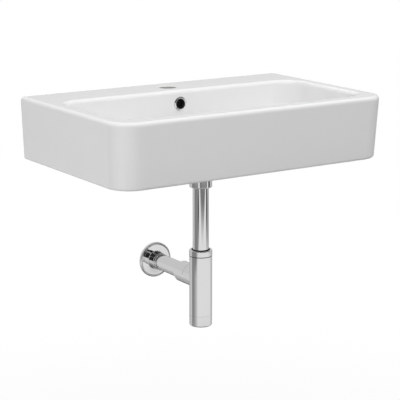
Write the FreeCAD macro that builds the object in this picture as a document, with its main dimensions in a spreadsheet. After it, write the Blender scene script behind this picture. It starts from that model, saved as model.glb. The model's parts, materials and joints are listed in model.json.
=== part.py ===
"""Wall hung wash basin with its click waste, chromed bottle trap and wall fixings.

Millimetres and degrees. X runs along the wall, Y points into the wall and Z is up. The origin is on
the wall face, midway between the two fixing bolts. The basin lies at y below zero.
"""

import FreeCAD, Part
import math
import os
import re

import Sketcher

Vector = FreeCAD.Vector
doc = FreeCAD.newDocument("wall_hung_basin")


# ---------------------------------------------------------------------------------------------
# Driving sizes
# ---------------------------------------------------------------------------------------------

SIZES = [
    # the ceramic's outside
    ("basin_width", 600, "left to right at the rim"),
    ("basin_depth", 378, "wall to front at the rim"),
    ("basin_height", 122, "rim to foot of the apron"),
    ("side_draft", 2.24, "degrees that each side leans in towards the foot"),
    ("front_draft", 3.13, "degrees that the front leans in towards the foot"),
    ("front_corner_radius", 47, "upright corners at the front"),
    ("back_corner_radius", 8, "upright corners at the wall"),
    ("edge_rounding", 8, "top edge of the outside"),
    ("foot_rounding", 5, "bottom edge of the outside"),
    ("rim_above_fixings", 75, "rim above the fixing bolts"),
    ("back_grinding", 0.5, "ground off the fired back, so that it lies flat on the wall"),
    # the ceramic's walls
    ("apron_wall", 12, "thickness of sides and front"),
    ("back_wall", 16, "thickness of the wall that hangs on the bolts"),
    ("deck_thickness", 15, "thickness of the flat deck round the bowl"),
    ("bowl_wall", 11, "thickness of the bowl"),
    # the bowl
    ("ledge_depth", 100, "wall to bowl, where the tap stands"),
    ("side_rim", 30, "width of the rim at either side"),
    ("front_rim", 36, "width of the rim at the front"),
    ("bowl_corner_radius", 45, "upright corners of the bowl"),
    ("bowl_depth", 84, "rim to bowl floor at the drain"),
    ("bowl_fall", 8, "fall of the curved floor from either end to the drain"),
    ("bowl_draft", 3, "degrees that the bowl's walls lean in towards its floor"),
    ("bowl_cove", 36, "rounding between the bowl's walls and its floor"),
    ("lip_rounding", 9, "rounding from the deck into the bowl"),
    # holes in the ceramic
    ("tap_hole_diameter", 35, "tap hole"),
    ("tap_hole_from_wall", 54, "wall to the tap hole's centre"),
    ("tap_hole_rounding", 2, "soft edge of the glazed tap hole"),
    ("drain_from_wall", 175, "wall to the drain's centre"),
    ("waste_hole_diameter", 46, "hole for the waste"),
    ("seat_clearance", 1.5, "gap round the waste's flange in its recess"),
    ("seat_sink", 4.5, "depth of that recess"),
    ("hub_wall", 11, "ceramic round that recess, in the boss under the drain"),
    ("hub_clearance", 2, "hub's foot above the apron's foot"),
    ("overflow_hole_diameter", 23, "hole for the overflow ring"),
    ("overflow_drop", 27, "rim to the overflow's centre"),
    ("channel_width", 30, "overflow channel, side to side"),
    ("channel_gap", 10, "overflow channel, front to back"),
    ("channel_wall", 7, "ceramic round the overflow channel"),
    ("chamber_height", 12, "ring chamber in the hub where the overflow meets the waste"),
    ("seat_shelf", 9.5, "ceramic between the flange's recess and the chamber"),
    ("fixing_spacing", 280, "between the two fixing bolts"),
    ("fixing_hole_diameter", 22, "holes for the bolts' sleeves"),
    # the waste
    ("tail_diameter", 41.9, "threaded tail, G 1 1/4"),
    ("tail_bore", 36, "bore of the tail"),
    ("tail_length", 83.5, "under the flange to the tail's end"),
    ("flange_diameter", 63, "flange in the bowl"),
    ("flange_thickness", 3, "flange"),
    ("flange_rounding", 2, "outer edge of the flange"),
    ("flange_mouth", 47, "wide end of the flange's cone, on which the plug seals"),
    ("flange_cone_depth", 5.5, "depth of that cone"),
    ("top_gasket_thickness", 2, "rubber ring under the flange"),
    ("lower_gasket_thickness", 4, "rubber ring under the hub"),
    ("gasket_margin", 1, "flange or backnut past its rubber ring, all round"),
    ("backnut_height", 10, "nut under the lower gasket"),
    ("backnut_margin", 0.5, "flange past the backnut, all round"),
    ("backnut_rim", 3, "height of the backnut's round rim"),
    ("backnut_step", 5, "rim past the rest of the backnut"),
    ("backnut_chamfer", 1, "edges of the backnut"),
    ("backnut_flat", 2, "depth of each spanner flat"),
    ("slot_height", 9, "overflow windows in the tail"),
    ("slot_width", 14, "overflow windows in the tail"),
    ("cross_depth", 28, "under the flange to the top of the cross"),
    ("cross_height", 6, "height of the cross that holds the cartridge"),
    ("cross_arm", 3, "thickness of the cross's arms"),
    ("cross_hub_diameter", 14, "middle of the cross"),
    # the click plug
    ("plug_travel", 9, "how far the plug stands open"),
    ("cap_crown", 4.5, "height of the cap at its middle"),
    ("cap_edge", 2.5, "height of the cap at its edge"),
    ("cap_rounding", 1.2, "top edge of the cap"),
    ("cap_chamfer", 0.8, "lower edge of the cap"),
    ("cap_socket", 1, "stem's hold in the cap above its underside"),
    ("cap_gap", 0.6, "closed cap above the flange"),
    ("cap_boss_diameter", 13, "boss under the cap"),
    ("cap_boss_height", 6, "boss under the cap"),
    ("seal_gap", 0.3, "closed seal from the flange's cone"),
    ("seal_cone", 4, "height of the seal's cone"),
    ("stem_diameter", 8, "plug's stem"),
    ("stem_collar_diameter", 11.6, "collar at the stem's foot"),
    ("stem_collar_height", 2.5, "collar at the stem's foot"),
    ("cartridge_diameter", 16, "click cartridge"),
    ("cartridge_bore", 11.8, "bore for the stem's collar and the spring"),
    ("cartridge_top_depth", 3.5, "under the flange to the cartridge's top"),
    ("bush_height", 3, "bush that guides the stem"),
    ("bush_step", 0.9, "shoulder that the bush rests on"),
    ("cartridge_stud_length", 8, "stud that holds the cartridge in the cross"),
    ("cartridge_floor", 2, "floor of the cartridge"),
    ("spring_wire", 0.9, "click spring's wire"),
    ("spring_diameter", 10.6, "click spring's outside"),
    ("spring_turns", 6, "click spring's turns"),
    # nuts and pipes
    ("pipe_diameter", 32, "trap pipes, outside"),
    ("pipe_wall", 1.2, "trap pipes, wall"),
    ("nut_diameter", 45, "upper union nut"),
    ("union_engagement", 12, "union nut's hold on the tail"),
    ("union_lip", 4, "floor of the union nut"),
    ("nut_rounding", 2.5, "lower edge of the union nut"),
    ("nut_chamfer", 0.8, "top edge of the union nut"),
    ("washer_thickness", 3, "flat washer under the tail"),
    ("washer_diameter", 40.6, "washer, flare and slip ring in the union nut"),
    ("flare_thickness", 2, "flare at the inlet pipe's top"),
    ("flare_margin", 0.5, "washer past that flare, all round"),
    ("slip_ring_thickness", 2, "slip ring under the flare"),
    ("exposed_pipe", 125.5, "pipe between the union nut and the bottle's collar"),
    ("dip_length", 123.5, "pipe inside the bottle, under the collar's top"),
    ("thread_clearance", 0.05, "radial play of a thread"),
    ("pipe_clearance", 0.3, "radial play round a pipe"),
    # the bottle
    ("collar_diameter", 45.6, "trap's inlet nut"),
    ("collar_height", 12.2, "trap's inlet nut"),
    ("collar_lip", 2.5, "roof of the inlet nut"),
    ("collar_rounding", 1.6, "top edge of the inlet nut"),
    ("collar_ring_thickness", 1.2, "slip ring in the inlet nut"),
    ("neck_diameter", 40, "bottle's threaded neck"),
    ("neck_height", 5.2, "bottle's threaded neck"),
    ("mouth_chamfer", 1.9, "cone in a mouth where a cone seal sits"),
    ("bottle_diameter", 45, "bottle"),
    ("bottle_wall", 1.5, "bottle's wall"),
    ("bottle_shoulder", 5, "bottle's roof under the neck"),
    ("bottle_height", 120.8, "groove under the inlet nut to the cup's seam"),
    ("groove_gap", 0.4, "gap between a nut and what it screws on"),
    ("groove_chamfer", 0.6, "chamfer on either side of that gap"),
    ("outlet_drop", 47.8, "groove to the outlet's axis"),
    ("seam_gap", 0.2, "gap between bottle and cup"),
    ("cup_height", 22, "cleaning cup under the seam"),
    ("cup_floor", 2.5, "cleaning cup's floor"),
    ("cup_rounding", 2.5, "cleaning cup's lower edge"),
    ("spigot_height", 9, "cup's threaded spigot"),
    ("spigot_wall", 2.6, "cup's threaded spigot"),
    ("o_ring_section", 1.4, "cup's O ring"),
    ("o_ring_rise", 2.6, "seam to the O ring's middle"),
    # the outlet
    ("branch_diameter", 42, "bottle's side branch and the outlet nut"),
    ("branch_length", 36, "bottle's axis to the branch's shoulder"),
    ("outlet_spigot_diameter", 37, "threaded end of the branch"),
    ("outlet_spigot_length", 25, "threaded end of the branch"),
    ("outlet_nut_length", 34.6, "outlet nut"),
    ("outlet_nut_chamfer", 4, "long chamfer at the nut's wall end"),
    ("outlet_nut_land", 1, "flat end of the nut round the pipe"),
    ("outlet_lip", 3.5, "floor of the outlet nut"),
    ("outlet_ring_thickness", 1.5, "slip ring in the outlet nut"),
    ("pipe_insert", 11, "outlet pipe past the branch's shoulder"),
    ("wall_insert", 18, "outlet pipe behind the wall face"),
    ("depth_mark_width", 1, "groove that marks how far the pipe goes into the wall"),
    ("depth_mark_depth", 0.4, "same"),
    ("rosette_diameter", 72.8, "cover plate at the wall"),
    ("rosette_height", 6.5, "cover plate at the wall"),
    ("rosette_dish", 1, "rise of the plate towards its sleeve"),
    ("rosette_rounding", 2, "front edge of the plate"),
    ("rosette_sheet", 1.2, "sheet that the rosette is drawn from"),
    ("sleeve_reach", 30, "wall to the end of the rosette's sleeve"),
    ("sleeve_diameter", 35.4, "rosette's sleeve"),
    ("grip_diameter", 44, "rubber ring in the rosette"),
    ("grip_height", 3, "rubber ring in the rosette"),
    # the overflow ring
    ("ring_diameter", 28, "overflow ring's flange"),
    ("ring_bore", 20.5, "overflow ring's opening"),
    ("ring_thickness", 2, "overflow ring's flange"),
    ("ring_rounding", 1.5, "outer edge of that flange"),
    ("ring_tube_diameter", 22.6, "overflow ring's tube"),
    ("ring_tube_length", 9, "overflow ring's tube"),
    # wall fixings
    ("bolt_diameter", 10, "hanger bolt, metric end"),
    ("bolt_screw_diameter", 8.4, "hanger bolt, screw end"),
    ("bolt_reach", 42, "bolt in front of the wall"),
    ("bolt_anchor", 65, "bolt behind the wall"),
    ("bolt_point", 8, "length of the screw's point"),
    ("bolt_chamfer", 0.8, "front end of the bolt"),
    ("plug_diameter", 14, "wall plug"),
    ("plug_length", 70, "wall plug, from the wall face"),
    ("plug_sink", 0.5, "wall plug's mouth behind the wall face"),
    ("plug_taper", 1, "lead-in at the wall plug's end, off its radius"),
    ("plug_taper_length", 2, "same, along it"),
    ("plug_slot_length", 35, "split end of the wall plug"),
    ("plug_slot_width", 1.6, "split end of the wall plug"),
    ("sleeve_flange_diameter", 30, "plastic sleeve in the ceramic"),
    ("sleeve_flange_thickness", 2.5, "plastic sleeve in the ceramic"),
    ("sleeve_short", 1, "end of the sleeve in front of the wall face"),
    ("fixing_clearance", 0.2, "radial play of sleeve, bolt and washer"),
    ("washer_plate", 2, "steel washer"),
    ("hex_width", 17, "nut across its flats"),
    ("hex_height", 8, "nut"),
    # the making of the shapes
    ("overrun", 1, "how far a cut runs past the surface that it opens, or a block into another"),
]

# Heights above the fixing bolts, places along Y, and half sizes, all worked out from the sizes.
LEVELS = [
    ("rim_level", "rim_above_fixings"),
    ("foot_level", "rim_level - basin_height"),
    ("deck_under", "rim_level - deck_thickness"),
    ("half_width", "basin_width / 2"),
    ("half_foot", "half_width - basin_height * tan(side_draft * 1 deg)"),
    ("foot_depth", "basin_depth - basin_height * tan(front_draft * 1 deg)"),
    ("half_under_deck", "half_width - deck_thickness * tan(side_draft * 1 deg)"),
    ("depth_under_deck", "basin_depth - deck_thickness * tan(front_draft * 1 deg)"),
    ("bowl_half", "half_width - side_rim"),
    ("bowl_front", "basin_depth - front_rim"),
    ("drain_y", "-drain_from_wall"),
    ("floor_radius", "(bowl_half * bowl_half + bowl_fall * bowl_fall) / (2 * bowl_fall)"),
    ("drain_level", "rim_level - bowl_depth"),
    ("seat_level", "drain_level - seat_sink"),
    ("hub_foot", "foot_level + hub_clearance"),
    ("chamber_top", "seat_level - seat_shelf"),
    ("chamber_foot", "chamber_top - chamber_height"),
    ("overflow_level", "rim_level - overflow_drop"),
    ("channel_front", "ledge_depth - channel_wall"),
    ("channel_back", "channel_front - channel_gap"),
    ("seat_diameter", "flange_diameter + 2 * seat_clearance"),
    ("hub_diameter", "seat_diameter + 2 * hub_wall"),
    ("backnut_diameter", "flange_diameter - 2 * backnut_margin"),
    ("lower_gasket_diameter", "backnut_diameter - 2 * gasket_margin"),
    ("flange_under", "seat_level + top_gasket_thickness"),
    ("flange_top", "flange_under + flange_thickness"),
    ("tail_end", "flange_under - tail_length"),
    ("lower_gasket_foot", "hub_foot - lower_gasket_thickness"),
    ("backnut_foot", "lower_gasket_foot - backnut_height"),
    ("cross_top", "flange_under - cross_depth"),
    ("cross_foot", "cross_top - cross_height"),
    ("cap_under", "flange_top + cap_gap + plug_travel"),
    ("boss_foot", "cap_under - cap_boss_height"),
    ("cartridge_top", "flange_under - cartridge_top_depth"),
    ("bush_foot", "cartridge_top - bush_height"),
    ("collar_foot", "bush_foot - stem_collar_height"),
    ("spring_seat", "cross_top + cartridge_floor"),
    ("union_top", "tail_end + union_engagement"),
    ("flare_top", "tail_end - washer_thickness"),
    ("flare_foot", "flare_top - flare_thickness"),
    ("union_floor", "flare_foot - slip_ring_thickness"),
    ("union_foot", "union_floor - union_lip"),
    ("collar_top", "union_foot - exposed_pipe"),
    ("collar_roof", "collar_top - collar_lip"),
    ("collar_seal_top", "collar_roof - collar_ring_thickness"),
    ("groove_level", "collar_top - collar_height"),
    ("neck_top", "groove_level + neck_height"),
    ("dip_end", "collar_top - dip_length"),
    ("outlet_level", "groove_level - outlet_drop"),
    ("seam_level", "groove_level - bottle_height"),
    ("cup_foot", "seam_level - cup_height"),
    ("branch_end", "drain_y + branch_length"),
    ("outlet_spigot_end", "branch_end + outlet_spigot_length"),
    ("outlet_nut_start", "branch_end + groove_gap"),
    ("outlet_nut_end", "outlet_nut_start + outlet_nut_length"),
    ("outlet_floor", "outlet_nut_end - outlet_lip"),
    ("outlet_seal_end", "outlet_floor - outlet_ring_thickness"),
    ("pipe_start", "branch_end - pipe_insert"),
    ("pipe_radius", "pipe_diameter / 2"),
    ("pipe_bore_radius", "pipe_radius - pipe_wall"),
    ("pipe_hole_radius", "pipe_radius + pipe_clearance"),
    ("ring_back", "-(ledge_depth + overflow_drop * tan(bowl_draft * 1 deg))"),
    ("sleeve_face", "-back_wall - sleeve_flange_thickness"),
    ("washer_face", "sleeve_face - washer_plate"),
    ("hex_face", "washer_face - hex_height"),
]

SIZE_NAMES = {name for name, value, note in SIZES}
LEVEL_NAMES = {name for name, formula in LEVELS}


def full(formula, in_levels=False):
    """The formula with each size and level written with the name of its sheet."""
    def with_sheet(match):
        word = match.group(0)
        if word in SIZE_NAMES:
            return "Sizes." + word
        if word in LEVEL_NAMES and not in_levels:
            return "Levels." + word
        return word
    return re.sub(r"[a-z_]+[a-z_0-9]*", with_sheet, formula)


def fill_sheets():
    sizes = doc.addObject("Spreadsheet::Sheet", "Sizes")
    for row, (name, value, note) in enumerate(SIZES, start=1):
        sizes.set(f"A{row}", name)
        sizes.set(f"B{row}", str(value))
        sizes.setAlias(f"B{row}", name)
        sizes.set(f"C{row}", note)
    levels = doc.addObject("Spreadsheet::Sheet", "Levels")
    for row, (name, formula) in enumerate(LEVELS, start=1):
        levels.set(f"A{row}", name)
        levels.set(f"B{row}", "=" + full(formula, in_levels=True))
        levels.setAlias(f"B{row}", name)
    doc.recompute()
    return sizes


SHEET = fill_sheets()


def value(formula):
    """What a formula of sizes and levels comes to."""
    return float(SHEET.evalExpression(full(formula)))


# ---------------------------------------------------------------------------------------------
# Sketches, features and placements
# ---------------------------------------------------------------------------------------------

def new_body(name):
    body = doc.addObject("PartDesign::Body", name)
    body.Label = name
    return body


def new_sketch(body, name, plane="XZ_Plane", offset=None):
    """A sketch on one of the body's own planes, moved along the plane's normal by offset."""
    sketch = body.newObject("Sketcher::SketchObject", name)
    support = next(f for f in body.Origin.OriginFeatures if f.Role == plane)
    sketch.AttachmentSupport = (support, [""])
    sketch.MapMode = "FlatFace"
    if offset:
        sketch.setExpression("AttachmentOffset.Base.z", full(offset))
    return sketch


def bind(sketch, kind, *where, formula):
    """A constraint whose value follows the formula."""
    index = sketch.addConstraint(Sketcher.Constraint(kind, *where, value(formula)))
    sketch.setExpression(f"Constraints[{index}]", full(formula))


def bind_point(sketch, line, end, x, y):
    """Pin one end of a line at x, y."""
    if x == "0":
        sketch.addConstraint(Sketcher.Constraint("PointOnObject", line, end, -2))
    else:
        bind(sketch, "DistanceX", line, end, formula=x)
    bind(sketch, "DistanceY", line, end, formula=y)


def crown_arc(edge, top):
    """The arc from edge up to top, with its centre under top."""
    rise, reach = top.y - edge.y, edge.x
    radius = (rise * rise + reach * reach) / (2 * rise)
    circle = Part.Circle(Vector(0, top.y - radius, 0), Vector(0, 0, 1), radius)
    return Part.ArcOfCircle(circle, math.atan2(edge.y - top.y + radius, edge.x), math.pi / 2)


def draw_outline(sketch, points, crowned=False):
    """A closed outline of straight lines through points, each an (x, y) pair of formulas."""
    corners = [Vector(value(x), value(y), 0) for x, y in points]
    count = len(points)
    for i in range(count):
        side = Part.LineSegment(corners[i], corners[(i + 1) % count])
        if crowned and i == count - 2:
            side = crown_arc(corners[i], corners[i + 1])
        sketch.addGeometry(side, False)
    if crowned:
        sketch.addConstraint(Sketcher.Constraint("PointOnObject", count - 2, 3, -2))
    for i in range(count):
        sketch.addConstraint(Sketcher.Constraint("Coincident", i, 2, (i + 1) % count, 1))
    for i, (x, y) in enumerate(points):
        bind_point(sketch, i, 1, x, y)


def draw_circle(sketch, diameter, x="0", y="0"):
    centre = Vector(value(x), value(y), 0)
    index = sketch.addGeometry(Part.Circle(centre, Vector(0, 0, 1), value(diameter) / 2), False)
    bind(sketch, "Diameter", index, formula=diameter)
    if x == "0":
        sketch.addConstraint(Sketcher.Constraint("PointOnObject", index, 3, -2))
    else:
        bind(sketch, "DistanceX", index, 3, formula=x)
    if y == "0":
        sketch.addConstraint(Sketcher.Constraint("PointOnObject", index, 3, -1))
    else:
        bind(sketch, "DistanceY", index, 3, formula=y)


def draw_rounded_oblong(sketch, half, back, front, back_radius, front_radius):
    """An oblong seen from above, with its two back corners and its two front corners rounded."""
    left, right, near, far = -value(half), value(half), value(front), value(back)
    rb, rf = value(back_radius), value(front_radius)
    lines = [
        ((left + rf, near), (right - rf, near)),
        ((right, near + rf), (right, far - rb)),
        ((right - rb, far), (left + rb, far)),
        ((left, far - rb), (left, near + rf)),
    ]
    arcs = [
        ((right - rf, near + rf), rf, -90, 0),
        ((right - rb, far - rb), rb, 0, 90),
        ((left + rb, far - rb), rb, 90, 180),
        ((left + rf, near + rf), rf, 180, 270),
    ]
    for start, end in lines:
        sketch.addGeometry(Part.LineSegment(Vector(*start, 0), Vector(*end, 0)), False)
    for centre, radius, start, end in arcs:
        circle = Part.Circle(Vector(*centre, 0), Vector(0, 0, 1), radius)
        arc = Part.ArcOfCircle(circle, math.radians(start), math.radians(end))
        sketch.addGeometry(arc, False)
    for i in range(4):
        sketch.addConstraint(Sketcher.Constraint("Tangent", i, 2, 4 + i, 1))
        sketch.addConstraint(Sketcher.Constraint("Tangent", 4 + i, 2, (i + 1) % 4, 1))
    for line, kind in ((0, "Horizontal"), (1, "Vertical"), (2, "Horizontal"), (3, "Vertical")):
        sketch.addConstraint(Sketcher.Constraint(kind, line))
    bind(sketch, "DistanceY", 0, 1, formula=front)
    bind(sketch, "DistanceX", 1, 1, formula=half)
    bind(sketch, "DistanceY", 2, 1, formula=back)
    bind(sketch, "DistanceX", 3, 1, formula=f"-({half})")
    for arc, radius in ((4, front_radius), (5, back_radius), (6, back_radius), (7, front_radius)):
        bind(sketch, "Radius", arc, formula=radius)


def draw_box(sketch, left, right, low, high):
    draw_outline(sketch, [(left, low), (right, low), (right, high), (left, high)])


def turn(body, name, points, kind="Revolution", offset=None, crowned=False):
    """Turn an outline of (radius, height) points about the body's upright axis.

    With crowned, the side that ends at the last point is an arc that crosses the axis level.
    """
    sketch = new_sketch(body, name + "_section", offset=offset)
    draw_outline(sketch, points, crowned)
    feature = body.newObject("PartDesign::" + kind, name)
    feature.Profile = sketch
    feature.ReferenceAxis = (sketch, ["V_Axis"])
    feature.Angle = 360
    return feature


def extrude(body, name, sketch, length, kind="Pad", reverse=False, both_ways=False):
    """A pad, or with kind="Pocket" a pocket, of a sketch."""
    feature = body.newObject("PartDesign::" + kind, name)
    feature.Profile = sketch
    feature.setExpression("Length", full(length))
    feature.Reversed = reverse
    feature.Midplane = both_ways
    return feature


def loft(body, name, sketches, kind="AdditiveLoft", straight=False):
    feature = body.newObject("PartDesign::" + kind, name)
    feature.Profile = sketches[0]
    feature.Sections = sketches[1:]
    feature.Ruled = straight
    return feature


def soften(body, name, edge_names, size, kind="Fillet"):
    """A fillet, or with kind="Chamfer" a chamfer, on edges of the body's last feature."""
    base = body.Tip
    feature = body.newObject("PartDesign::" + kind, name)
    feature.Base = (base, edge_names)
    feature.setExpression("Radius" if kind == "Fillet" else "Size", full(size))
    doc.recompute()
    return feature


def edges_where(body, test):
    """Names of the edges of the body's last feature that pass the test."""
    doc.recompute()
    edges = body.Tip.Shape.Edges
    return [f"Edge{i}" for i, edge in enumerate(edges, start=1)
            if not edge.Degenerated and test(edge)]


def ring_edges(body, radius, height):
    """Names of the full circles of a turned part at a radius and height, given as formulas."""
    r, z = value(radius), value(height)

    def is_ring(edge):
        curve = edge.Curve
        return (hasattr(curve, "Radius") and abs(curve.Radius - r) < 1e-4
                and abs(curve.Center.z - z) < 1e-4 and abs(curve.Axis.z) > 0.999)
    return edges_where(body, is_ring)


ALONG_Y = FreeCAD.Rotation(Vector(1, 0, 0), -90)


def place(feature, x="0", y="0", z="0", rotation=None):
    """Bind where a sub-part stands. A part turned with ALONG_Y has its upright axis along Y."""
    if rotation:
        feature.Placement.Rotation = rotation
    for axis, formula in (("x", x), ("y", y), ("z", z)):
        if formula != "0":
            feature.setExpression("Placement.Base." + axis, full(formula))
    return feature


def turned_part(name, points, **where):
    """A sub-part that is one turned outline."""
    body = new_body(name)
    turn(body, name + "_turn", points)
    place(body, **where)
    return body


def ring_part(name, inner, outer, low, high, **where):
    """A plain ring between two radii and two heights."""
    outline = [(inner, low), (outer, low), (outer, high), (inner, high)]
    return turned_part(name, outline, **where)


ON_DRAIN = {"y": "drain_y"}
ON_OUTLET = {"z": "outlet_level", "rotation": ALONG_Y}


# ---------------------------------------------------------------------------------------------
# The ceramic
# ---------------------------------------------------------------------------------------------

def bowl_outline(body, name, drop, wall):
    """A level outline of the bowl at drop under the rim, widened by wall for its underside."""
    inset = f"(({drop}) * tan(bowl_draft * 1 deg) - {wall})"
    sketch = new_sketch(body, name, "XY_Plane", f"rim_level - ({drop})")
    radius = f"bowl_corner_radius - {inset}"
    draw_rounded_oblong(sketch, f"bowl_half - {inset}", f"-(ledge_depth + {inset})",
                        f"-(bowl_front - {inset})", radius, radius)
    return sketch


def draw_under_floor(sketch, low, bottom):
    """All that lies under a floor which curves down to low at the middle."""
    radius, reach = value("floor_radius"), value("half_width")
    centre_z, base = value(f"{low} + floor_radius"), value(bottom)
    dip = math.sqrt(radius * radius - reach * reach)
    circle = Part.Circle(Vector(0, centre_z, 0), Vector(0, 0, 1), radius)
    turn_to_end = math.asin(reach / radius)
    down = -math.pi / 2
    sketch.addGeometry(Part.ArcOfCircle(circle, down - turn_to_end, down + turn_to_end), False)
    left, right = Vector(-reach, centre_z - dip, 0), Vector(reach, centre_z - dip, 0)
    low_left, low_right = Vector(-reach, base, 0), Vector(reach, base, 0)
    for start, end in ((right, low_right), (low_right, low_left), (low_left, left)):
        sketch.addGeometry(Part.LineSegment(start, end), False)
    for i in range(4):
        sketch.addConstraint(Sketcher.Constraint("Coincident", i, 2, (i + 1) % 4, 1))
    sketch.addConstraint(Sketcher.Constraint("PointOnObject", 0, 3, -2))
    bind(sketch, "DistanceY", 0, 3, formula=f"{low} + floor_radius")
    bind(sketch, "Radius", 0, formula="floor_radius")
    bind_point(sketch, 2, 1, "half_width", bottom)
    bind_point(sketch, 3, 1, "-half_width", bottom)
    sketch.addConstraint(Sketcher.Constraint("Vertical", 1))
    sketch.addConstraint(Sketcher.Constraint("Vertical", 3))


def bowl_form(name, top_drop, wall):
    """The bowl as a solid, widened by wall: drafted walls, a curved floor and a cove between."""
    form = new_body(name)
    low = f"(rim_level - bowl_depth - {wall})"
    bottom_drop = f"bowl_depth + {wall} + 4 * overrun"
    walls = [bowl_outline(form, name + "_top", top_drop, wall),
             bowl_outline(form, name + "_bottom", bottom_drop, wall)]
    loft(form, name + "_walls", walls, straight=True)
    under = new_sketch(form, name + "_under_floor", "XZ_Plane")
    draw_under_floor(under, low, f"{low} - 8 * overrun")
    extrude(form, name + "_floor", under, "2 * basin_depth", "Pocket", both_ways=True)
    doc.recompute()
    floor = max((f for f in form.Tip.Shape.Faces
                 if f.BoundBox.ZMax < value(f"{low} + bowl_fall + 2 * overrun")),
                key=lambda f: f.Area)
    rims = [e.hashCode() for e in floor.Edges]
    soften(form, name + "_cove",
           [f"Edge{i}" for i, e in enumerate(form.Tip.Shape.Edges, start=1)
            if e.hashCode() in rims], f"bowl_cove + {wall}")
    return form


def merge(body, name, tool, kind):
    """Join or cut a body with another."""
    feature = body.newObject("PartDesign::Boolean", name)
    feature.Type = kind
    feature.setObjects([tool])
    return feature


def level_section(body, name, level, half, depth, back, wall="0"):
    """One level section of the ceramic's outside, or with a wall of the hollow under it."""
    sketch = new_sketch(body, name, "XY_Plane", level)
    draw_rounded_oblong(sketch, f"{half} - {wall}", back, f"-({depth} - {wall})",
                        "back_corner_radius", f"front_corner_radius - {wall}")
    return sketch


def level_edges(body, level, wanted=lambda x, y: True):
    """Names of the level edges at a height whose middle passes the wanted(x, y) test."""
    z = value(level)

    def fits(edge):
        middle = edge.valueAt((edge.FirstParameter + edge.LastParameter) / 2)
        is_level = all(abs(v.Z - z) < 1e-4 for v in edge.Vertexes) and abs(middle.z - z) < 1e-4
        return is_level and wanted(abs(middle.x), middle.y)
    return edges_where(body, fits)


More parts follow.
